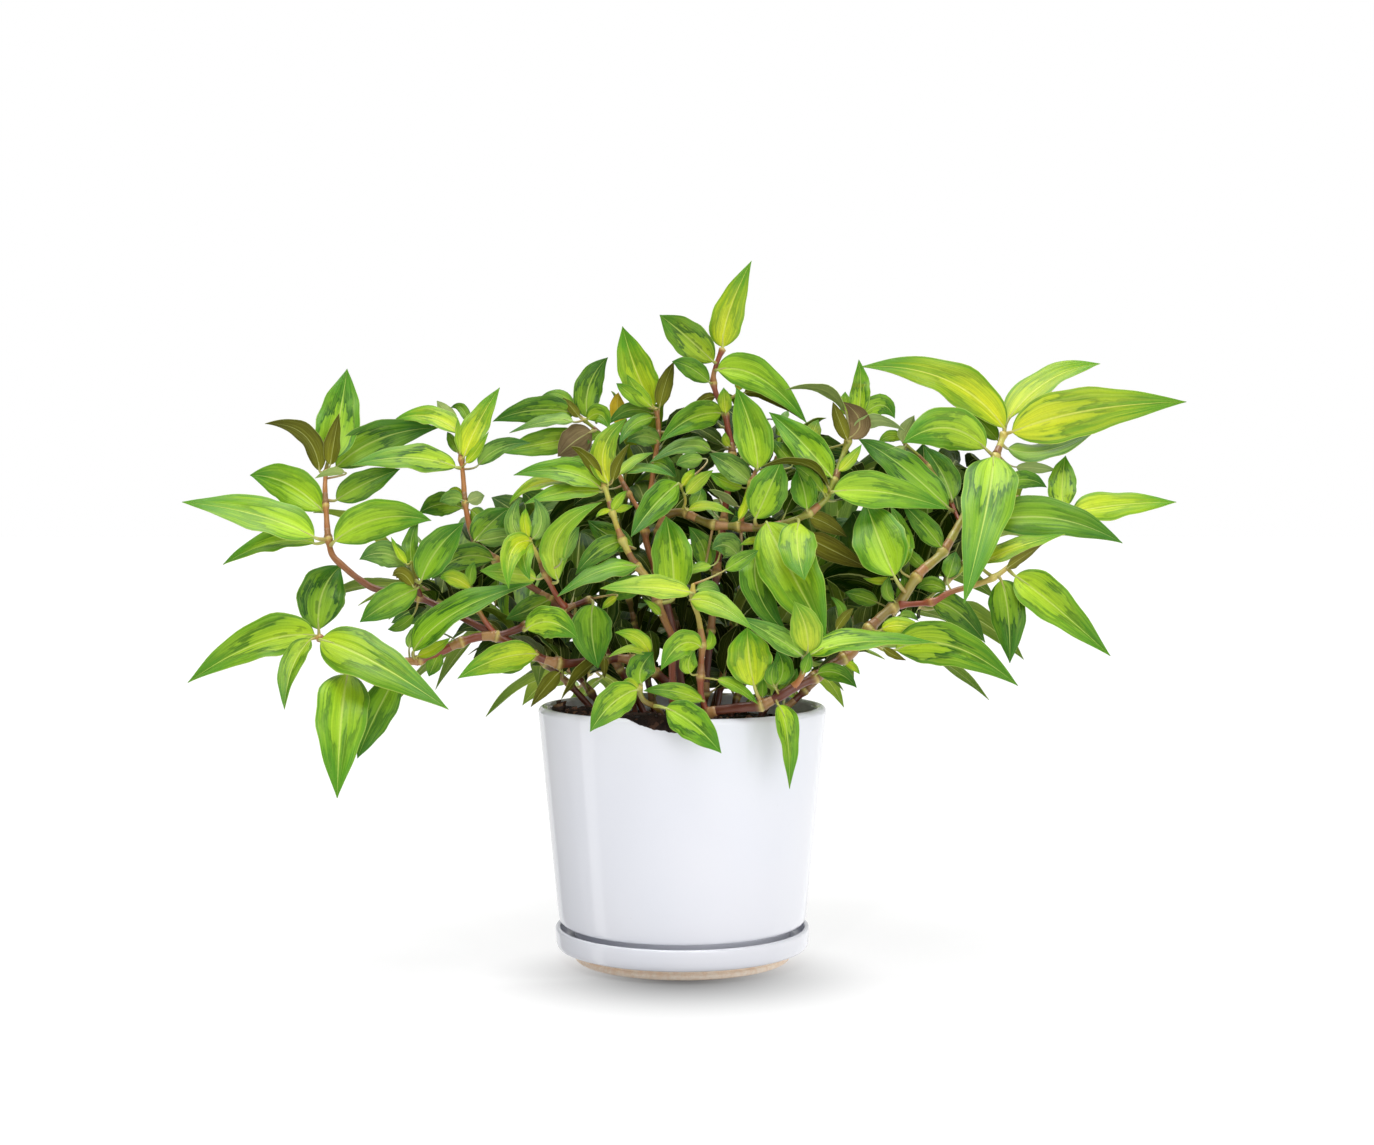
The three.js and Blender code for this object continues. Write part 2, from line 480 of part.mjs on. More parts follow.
const GOLDEN_ANGLE = 2.4;
const SHOOT_TURN = 1.3;
const STALK_LENGTH = 6;
const SPREAD_LOW = 1.15;
const SPREAD_HIGH = 0.35;
const FORWARD_LIMIT = -0.1;
const LENGTH_SHARE = 0.85;
const LENGTH_SWING = 0.3;
const LENGTH_BEAT = 1.9;
const ARCH_RISE = 0.07;
const TIP_DROP = 0.14;
const SIDE_TILT = 0.5;
const BACK_TILT = 0.35;
const FRESH_FROM = 0.7;

const wasm = await Module();
wasm.setup();

// A point as it is seen from the front, put at its depth y
function seen(x, z, y) {
  const reach = (y - EYE.y) / -EYE.y;
  return new THREE.Vector3(EYE.x + (x - EYE.x) * reach, y, EYE.z + (z - EYE.z) * reach);
}

// The same, with the plant's lean: tall parts set back, low outer parts set forward
function leaning(x, z, y) {
  const outward = Math.abs(x) / LEAN_REACH;
  const high = THREE.MathUtils.smoothstep(z, ...LEAN_BACK_HEIGHTS);
  const low = 1 - THREE.MathUtils.smoothstep(z, ...LEAN_FORWARD_HEIGHTS);
  const back = LEAN_BACK * high * (LEAN_BACK_MIDDLE + LEAN_BACK_SIDE * outward);
  const forward = LEAN_FORWARD * low * Math.min(1, LEAN_FORWARD_SIDE * outward ** 2);
  return seen(x, z, y + back - forward);
}

function toSolid(geometry) {
  geometry.deleteAttribute("normal");
  geometry.deleteAttribute("uv");
  const merged = mergeVertices(geometry);
  const mesh = new wasm.Mesh({
    numProp: 3,
    vertProperties: Float32Array.from(merged.attributes.position.array),
    triVerts: Uint32Array.from(merged.index.array),
  });
  return new wasm.Manifold(mesh);
}

function toGeometry(solid) {
  const mesh = solid.getMesh();
  const geometry = new THREE.BufferGeometry();
  geometry.setAttribute("position", new THREE.BufferAttribute(Float32Array.from(mesh.vertProperties), 3));
  geometry.setIndex(Array.from(mesh.triVerts));
  geometry.computeVertexNormals();
  return geometry;
}

// A round body turned about the Z axis from [radius, height] points, listed upwards on the outside
function turned(outline) {
  const points = outline.map(([radius, height]) => new THREE.Vector2(radius, height));
  const geometry = new THREE.LatheGeometry(points, LATHE_SIDES);
  geometry.rotateX(Math.PI / 2);
  return toSolid(geometry);
}

// Points of an arc, angles in degrees from the +radius direction
function arc(radius, height, size, from, to, steps) {
  const points = [];
  for (let i = 0; i <= steps; i += 1) {
    const angle = THREE.MathUtils.degToRad(from + ((to - from) * i) / steps);
    points.push([radius + size * Math.cos(angle), height + size * Math.sin(angle)]);
  }
  return points;
}

function innerRadius(height) {
  const slope = (POT_RIM_RADIUS - POT_SHOULDER_RADIUS) / (POT_RIM_HEIGHT - POT_SHOULDER_HEIGHT);
  return POT_SHOULDER_RADIUS - POT_WALL + slope * (height - POT_SHOULDER_HEIGHT);
}

function makePot() {
  const base = SAUCER_FLOOR_HEIGHT + GAP;
  const underside = base + RING_HOLLOW;
  const step = base + RING_STEP;
  const floor = underside + POT_FLOOR;
  const lip = POT_WALL / 2;
  const outline = [
    [DRAIN_RADIUS, underside],
    [RING_INNER_RADIUS, underside],
    [RING_INNER_RADIUS, base],
    [RING_OUTER_RADIUS, base],
    [RING_OUTER_RADIUS, step],
    ...POT_CORNER.map(([radius, height]) => [radius, step + height]),
    [POT_SHOULDER_RADIUS, POT_SHOULDER_HEIGHT],
    ...arc(POT_RIM_RADIUS - lip, POT_RIM_HEIGHT - lip, lip, 0, 180, RIM_LIP_STEPS),
    [innerRadius(floor + POT_COVE_TOP), floor + POT_COVE_TOP],
    [innerRadius(floor + POT_COVE_TOP) - POT_COVE, floor + POT_COVE_HEIGHT],
    [POT_FLOOR_RADIUS, floor],
    [DRAIN_RADIUS, floor],
    [DRAIN_RADIUS, underside],
  ];
  return turned(outline);
}

// The room round the pot's rim that leaves hanging over it stay out of
function makeRimClearance() {
  const low = POT_RIM_HEIGHT - RIM_CLEARANCE_DEPTH;
  const outline = [
    [innerRadius(low) - GAP, low],
    [POT_RIM_RADIUS + GAP, low],
    [POT_RIM_RADIUS + GAP, POT_RIM_HEIGHT + GAP],
    [innerRadius(POT_RIM_HEIGHT) - GAP, POT_RIM_HEIGHT + GAP],
    [innerRadius(low) - GAP, low],
  ];
  return turned(outline);
}

function makeSaucer() {
  const lip = SAUCER_WALL / 2;
  const inner = SAUCER_RIM_RADIUS - SAUCER_WALL;
  const outline = [
    [0, 0],
    [FOOT_BOTTOM_RADIUS, 0],
    [FOOT_RADIUS, FOOT_HEIGHT],
    ...SAUCER_CORNER.map(([inwards, height]) => [SAUCER_RIM_RADIUS - inwards, FOOT_HEIGHT + height]),
    ...arc(SAUCER_RIM_RADIUS - lip, SAUCER_RIM_HEIGHT - lip, lip, 0, 180, RIM_LIP_STEPS),
    ...SAUCER_HOLLOW.map(([inwards, height]) => [inner - inwards, height]),
    [0, SAUCER_FLOOR_HEIGHT],
  ];
  return turned(outline);
}

function makeSoil() {
  const floor = SAUCER_FLOOR_HEIGHT + RING_HOLLOW + POT_FLOOR + 2 * GAP;
  const outline = [
    [0, floor],
    [POT_FLOOR_RADIUS - GAP, floor],
    [innerRadius(floor + POT_COVE_TOP) - POT_COVE - GAP, floor + POT_COVE_HEIGHT],
    [innerRadius(floor + POT_COVE_TOP) - GAP, floor + POT_COVE_TOP],
    [innerRadius(SOIL_EDGE_HEIGHT) - GAP, SOIL_EDGE_HEIGHT],
    ...SOIL_SURFACE.map(([radius, share]) => [radius, SOIL_EDGE_HEIGHT + SOIL_CROWN * share]),
  ];
  return turned(outline);
}

// A stem: a tube along a smooth curve through its points, grown all round by a clearance
function makeStem(radius, points, grow) {
  const route = points.map((point) => point.clone());
  if (grow > 0) {
    const first = route[0].clone().sub(route[1]).setLength(grow);
    const last = route.at(-1).clone().sub(route.at(-2)).setLength(grow);
    route[0].add(first);
    route.at(-1).add(last);
  }
  const section = new THREE.Shape();
  for (let i = 0; i < STEM_SIDES; i += 1) {
    const angle = (i / STEM_SIDES) * 2 * Math.PI;
    const reach = radius + grow;
    if (i === 0) section.moveTo(reach, 0);
    else section.lineTo(reach * Math.cos(angle), reach * Math.sin(angle));
  }
  section.closePath();
  const path = new THREE.CatmullRomCurve3(route, false, "centripetal");
  const steps = Math.max(route.length - 1, Math.round((path.getLength() - 2 * grow) / STEM_STEP));
  return toSolid(new THREE.ExtrudeGeometry(section, { steps, bevelEnabled: false, extrudePath: path }));
}

// Share of the full width at a place along the blade, 0 at its base and 1 at its tip
function bladeShare(t) {
  return Math.sin(Math.PI * t ** BLADE_RISE) ** BLADE_FULLNESS * (1 - TIP_NARROWING * t ** 4);
}

// A leaf: a petiole from the stem and a keeled blade along a bent midrib, as one closed body
function makeLeaf(leaf, grow) {
  const control = leaf.middle.clone().multiplyScalar(2);
  control.addScaledVector(leaf.base, -0.5).addScaledVector(leaf.tip, -0.5);
  const midrib = new THREE.QuadraticBezierCurve3(leaf.base, control, leaf.tip);
  const rings = [];
  const addRing = (centre, along, normal, half, lift, keel) => {
    const side = along.clone().cross(normal).normalize();
    const top = centre.clone().addScaledVector(normal, lift + grow);
    rings.push([
      top.clone().addScaledVector(side, half + 2 * grow),
      top.clone().addScaledVector(side, -half - 2 * grow),
      centre.clone().addScaledVector(normal, -keel - 2 * grow),
    ]);
  };
  const start = midrib.getTangent(NEAR_BASE);
  const stalk = leaf.base.clone().sub(leaf.root);
  const normal = leaf.facing(leaf.base, start);
  if (stalk.length() > SHORTEST_STALK) {
    const bend = new THREE.Quaternion().setFromUnitVectors(start, stalk.normalize());
    const half = new THREE.Quaternion().slerp(bend, 0.5);
    const turnedRing = (centre, turn) => addRing(
      centre, start.clone().applyQuaternion(turn), normal.clone().applyQuaternion(turn),
      PETIOLE_RADIUS, PETIOLE_RADIUS / 2, PETIOLE_RADIUS,
    );
    turnedRing(leaf.root, bend);
    turnedRing(leaf.base, half);
  } else {
    addRing(leaf.base, start, normal, PETIOLE_RADIUS, PETIOLE_RADIUS / 2, PETIOLE_RADIUS);
  }
  const places = leaf.seenWidth < NARROW_BLADE ? NARROW_BLADE_RINGS : WIDE_BLADE_RINGS;
  for (const t of places) {
    const half = (leaf.width / 2) * bladeShare(t);
    const along = midrib.getTangent(t);
    const centre = midrib.getPoint(t);
    addRing(centre, along, leaf.facing(centre, along), half, BLADE_LIFT * half, KEEL);
  }
  const end = leaf.tip.clone().addScaledVector(midrib.getTangent(1), 2 * grow);
  return toSolid(loft(rings, end));
}

// A closed surface through rings of three points, from a flat start to a pointed end
function loft(rings, end) {
  const points = [...rings.flat(), end];
  const last = points.length - 1;
  const faces = [[0, 1, 2]];
  for (let ring = 0; ring < rings.length; ring += 1) {
    for (let i = 0; i < 3; i += 1) {
      const a = ring * 3 + i;
      const b = ring * 3 + ((i + 1) % 3);
      if (ring + 1 < rings.length) faces.push([a, a + 3, b + 3], [a, b + 3, b]);
      else faces.push([a, last, b]);
    }
  }
  let volume = 0;
  for (const [a, b, c] of faces) {
    volume += points[a].dot(points[b].clone().cross(points[c]));
  }
  const geometry = new THREE.BufferGeometry().setFromPoints(points);
  geometry.setIndex(faces.flatMap(([a, b, c]) => (volume > 0 ? [a, b, c] : [a, c, b])));
  return geometry;
}

// The nearest place to a point on the centre lines of a shoot's stems
function nearestRoot(point, routes) {
  let best = null;
  for (const route of routes) {
    for (let i = 0; i + 1 < route.length; i += 1) {
      const line = new THREE.Line3(route[i], route[i + 1]);
      const found = line.closestPointToPoint(point, true, new THREE.Vector3());
      if (!best || found.distanceTo(point) < best.distanceTo(point)) best = found;
    }
  }
  return best;
}

// A blade picked in the picture: turned about its midrib until it looks as wide as it was seen
function pickedLeaf(row, routes) {
  const [bx, bz, mx, mz, tx, tz, baseDepth, tipDepth, width, look] = row;
  const base = leaning(bx, bz, baseDepth);
  const middle = leaning(mx, mz, (baseDepth + tipDepth) / 2);
  const tip = leaning(tx, tz, tipDepth);
  const real = width * ((middle.y - EYE.y) / -EYE.y);
  const natural = Math.max(real, Math.min(WIDEST_TURNED, NATURAL_RATIO * base.distanceTo(tip)));
  const turn = Math.acos(real / natural);
  const under = LOOKS[look][1];
  const facing = (centre, along) => {
    const toEye = EYE.clone().sub(centre);
    toEye.addScaledVector(along, -toEye.dot(along)).normalize();
    const across = along.clone().cross(toEye).normalize();
    if (across.z < 0) across.negate();
    const towards = (under ? -1 : 1) * Math.cos(turn);
    return toEye.multiplyScalar(towards).addScaledVector(across, Math.sin(turn));
  };
  const root = nearestRoot(base, routes);
  return { base, middle, tip, facing, look, width: natural, seenWidth: width, root };
}

// A blade grown by rule on a far shoot: leaves wind round the stem, wide apart low down and closed at its end
function grownLeaf(number, shoot, route, length) {
  const path = new THREE.CatmullRomCurve3(route, false, "centripetal");
  const along = number / (BACK_LEAVES - 1);
  const place = BARE_SHARE + (1 - BARE_SHARE) * along;
  const root = path.getPoint(place);
  const tangent = path.getTangent(place);
  const across = new THREE.Vector3(0, 0, 1).cross(tangent).normalize();
  const over = tangent.clone().cross(across);
  const wind = number * GOLDEN_ANGLE + shoot * SHOOT_TURN;
  const spread = THREE.MathUtils.lerp(SPREAD_LOW, SPREAD_HIGH, along ** 2);
  const direction = tangent.clone().multiplyScalar(Math.cos(spread));
  direction.addScaledVector(across, Math.sin(spread) * Math.cos(wind));
  direction.addScaledVector(over, Math.sin(spread) * Math.sin(wind));
  direction.y = Math.max(direction.y, FORWARD_LIMIT);
  direction.normalize();
  const reach = length * (LENGTH_SHARE + LENGTH_SWING * Math.sin(number * LENGTH_BEAT + shoot));
  const base = root.clone().addScaledVector(direction, STALK_LENGTH);
  const middle = base.clone().addScaledVector(direction, reach / 2);
  middle.z += reach * ARCH_RISE;
  const tip = base.clone().addScaledVector(direction, reach);
  tip.z -= reach * TIP_DROP;
  const facing = (centre, line) => {
    const up = new THREE.Vector3(SIDE_TILT * Math.sin(wind), BACK_TILT, 1);
    return up.addScaledVector(line, -up.dot(line)).normalize();
  };
  const width = NATURAL_RATIO * reach;
  const look = along > FRESH_FROM ? "fresh" : "deep";
  return { base, middle, tip, facing, look, width, seenWidth: width, root };
}

function nearBoxes(a, b) {
  const p = a.boundingBox();
  const q = b.boundingBox();
  return [0, 1, 2].every((i) => p.min[i] < q.max[i] && q.min[i] < p.max[i]);
}

// The piece of a cut leaf that still holds its base
function baseBody(solid, base) {
  let best = null;
  let bestDistance = Infinity;
  for (const body of solid.decompose()) {
    const points = body.getMesh().vertProperties;
    for (let i = 0; i < points.length; i += 3) {
      const distance = base.distanceTo(new THREE.Vector3(points[i], points[i + 1], points[i + 2]));
      if (distance < bestDistance) {
        best = body;
        bestDistance = distance;
      }
    }
  }
  return best;
}

const part = new THREE.Group();

function addNode(name, solid, color, roughness) {
  const material = new THREE.MeshStandardMaterial({ color, roughness, metalness: 0 });
  const mesh = new THREE.Mesh(toGeometry(solid), material);
  mesh.name = name;
  part.add(mesh);
}

// Every shoot with its routes in space, its stems as one solid and its leaves
const shoots = [];
for (const { name, stems, leaves } of SHOOTS) {
  const routes = stems.map(([, route]) => route.map(([x, z, y]) => leaning(x, z, y)));
  const radii = stems.map(([radius]) => radius);
  shoots.push({ name, routes, radii, leaves: leaves.map((row) => pickedLeaf(row, routes)) });
}
BACK_SHOOTS.forEach(({ name, length, route }, number) => {
  const points = route.map(([x, z, y]) => seen(x, z, y));
  const leaves = [];
  for (let i = 0; i < BACK_LEAVES; i += 1) leaves.push(grownLeaf(i, number, points, length));
  shoots.push({ name, routes: [points], radii: [BACK_STEM_RADIUS], leaves });
});
for (const shoot of shoots) {
  const build = (grow) => shoot.routes
    .map((route, i) => makeStem(shoot.radii[i], route, grow))
    .reduce((sum, stem) => sum.add(stem));
  shoot.solid = build(0);
  shoot.clearance = build(GAP);
}

// The leaves, the widest first. Each is cut clear of what already stands there, and its base is kept.
const taken = shoots.map((shoot) => ({ owner: shoot, clearance: shoot.clearance }));
taken.push({ owner: null, clearance: makeRimClearance() });
const queue = [];
for (const shoot of shoots) {
  shoot.leaves.forEach((leaf, i) => queue.push({ shoot, leaf, number: i + 1 }));
}
queue.sort((a, b) => b.leaf.seenWidth - a.leaf.seenWidth);
for (const { shoot, leaf, number } of queue) {
  if (leaf.seenWidth < JOINED_WIDTH) continue;
  const own = leaf.seenWidth >= OWN_NODE_WIDTH && shoots.indexOf(shoot) < SHOOTS.length;
  let solid = makeLeaf(leaf, 0);
  for (const other of taken) {
    const touches = own || other.owner !== shoot;
    if (touches && nearBoxes(solid, other.clearance)) solid = solid.subtract(other.clearance);
  }
  const whole = makeLeaf(leaf, 0).volume();
  solid = baseBody(solid, leaf.base);
  if (!own && solid.volume() < KEPT_SHARE * whole) continue;
  taken.push({ owner: own ? null : shoot, clearance: makeLeaf(leaf, GAP).add(solid) });
  if (own) addNode(`${shoot.name}_leaf_${number}`, solid, LOOKS[leaf.look][0], LEAF_ROUGHNESS);
  else shoot.solid = shoot.solid.add(solid);
}
for (const shoot of shoots) addNode(`${shoot.name}_stems`, shoot.solid, STEM_COLOR, STEM_ROUGHNESS);

// The soil closes round the stems, and the pot and the saucer hold it
let soil = makeSoil();
for (const shoot of shoots) soil = soil.subtract(shoot.clearance);
addNode("soil", soil, SOIL_COLOR, SOIL_ROUGHNESS);
addNode("pot", makePot(), GLAZE_COLOR, GLAZE_ROUGHNESS);
addNode("saucer", makeSaucer(), GLAZE_COLOR, GLAZE_ROUGHNESS);

export default part;
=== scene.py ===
import math
import random

import bpy
import numpy as np
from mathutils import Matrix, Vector, noise


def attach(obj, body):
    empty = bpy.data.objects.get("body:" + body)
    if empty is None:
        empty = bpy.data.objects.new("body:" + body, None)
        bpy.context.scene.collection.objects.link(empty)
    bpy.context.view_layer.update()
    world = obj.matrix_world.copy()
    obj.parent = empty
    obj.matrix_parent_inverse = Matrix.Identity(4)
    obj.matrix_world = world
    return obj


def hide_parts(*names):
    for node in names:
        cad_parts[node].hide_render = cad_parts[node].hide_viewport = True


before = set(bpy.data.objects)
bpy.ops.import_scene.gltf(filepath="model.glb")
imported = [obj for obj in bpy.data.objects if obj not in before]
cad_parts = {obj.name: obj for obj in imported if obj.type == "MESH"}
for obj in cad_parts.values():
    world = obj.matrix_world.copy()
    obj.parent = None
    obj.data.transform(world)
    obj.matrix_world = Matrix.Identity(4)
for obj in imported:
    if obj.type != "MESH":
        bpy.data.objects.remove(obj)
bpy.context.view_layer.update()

# A potted Vietnamese coriander: glazed pot and saucer, soil, jointed stems and marked leaves.
# Shapes are worked out in millimetres and stored in metres. Up is +Z, the viewer is towards -Y.
MM = 0.001
SEED = 11
rng = random.Random(SEED)

# The photograph's view: eye in millimetres, downward pitch in radians, focal length in pixels
EYE = np.array([2.26, -1000.0, 221.76])
PITCH = 0.034043
FOCAL = 2057.5
PICTURE_WIDTH = 1374
SENSOR = 36.0

# The lean in depth, as the CAD has it: high parts lean back, and low ones far out lean forward
LEAN_BACK = 46
LEAN_BACK_HEIGHTS = (165, 300)
LEAN_FORWARD = 30
LEAN_FORWARD_HEIGHTS = (85, 160)
HALF_SPAN = 200

# Pot, saucer and soil
POT_RIM_RADIUS = 70
POT_RIM_HEIGHT = 123.1
POT_SHOULDER_RADIUS = 60.5
POT_SHOULDER_HEIGHT = 22
POT_WALL = 5.3
POT_FLOOR = 5
POT_FLOOR_RADIUS = 48
DRAIN_RADIUS = 7
POT_COVE = 3
POT_COVE_HEIGHT = 1.7
POT_COVE_TOP = 6
RING_INNER_RADIUS = 46
RING_OUTER_RADIUS = 53
RING_HOLLOW = 6
RING_STEP = 8.4
SAUCER_RIM_RADIUS = 61.9
SAUCER_RIM_HEIGHT = 16
SAUCER_WALL = 2.5
SAUCER_FLOOR_HEIGHT = 8.5
FOOT_RADIUS = 51.5
FOOT_BOTTOM_RADIUS = 52.5
FOOT_HEIGHT = 5.3
SEAT_GAP = 0.3
SOIL_EDGE_HEIGHT = 112.5
SOIL_CROWN = 3

# Leaves: width in shares of length, the widest a turned blade is taken to be, and the blade's own shape
NATURAL_RATIO = 0.34
WIDEST_TURNED = 24
BLADE_THICKNESS = 0.24
BLADE_FOLD = 0.54
BLADE_CURL = 0.38
BLADE_WAVE = 0.09
BLADE_NICK = 0.035
CHEVRON_APEX = 0.66
PETIOLE_RADIUS = 0.75
PETIOLE_REACH = 8

# A full turn for random angles
TURN = 6.28

# Leaf colours by look: inner and outer upper side, inner and outer underside,
# strength of the dark chevron, and whether the underside faces the front
LOOKS = {
    "lime": ["#cadc48", "#5c9c2e", "#b9c96a", "#7fa348", 0.60, False],
    "pale": ["#bdd674", "#679f46", "#b6c77c", "#84a458", 0.45, False],
    "fresh": ["#acd454", "#4f8f30", "#9fb45c", "#6f9246", 1.00, False],
    "deep": ["#86b444", "#387526", "#86a055", "#57793f", 0.95, False],
    "glaucous": ["#98c490", "#437a54", "#93ab86", "#6a8b68", 0.70, False],
    "olive": ["#8ba346", "#4d6a22", "#808444", "#545630", 0.40, True],
    "mauve": ["#8aa046", "#4e6822", "#8e7c9c", "#66566e", 0.40, True],
    "silver": ["#86a873", "#54804a", "#aec4dc", "#86a4b4", 0.20, True],
    "tan": ["#a3b04a", "#7d8c35", "#d3bf62", "#b09a48", 0.15, True],
}

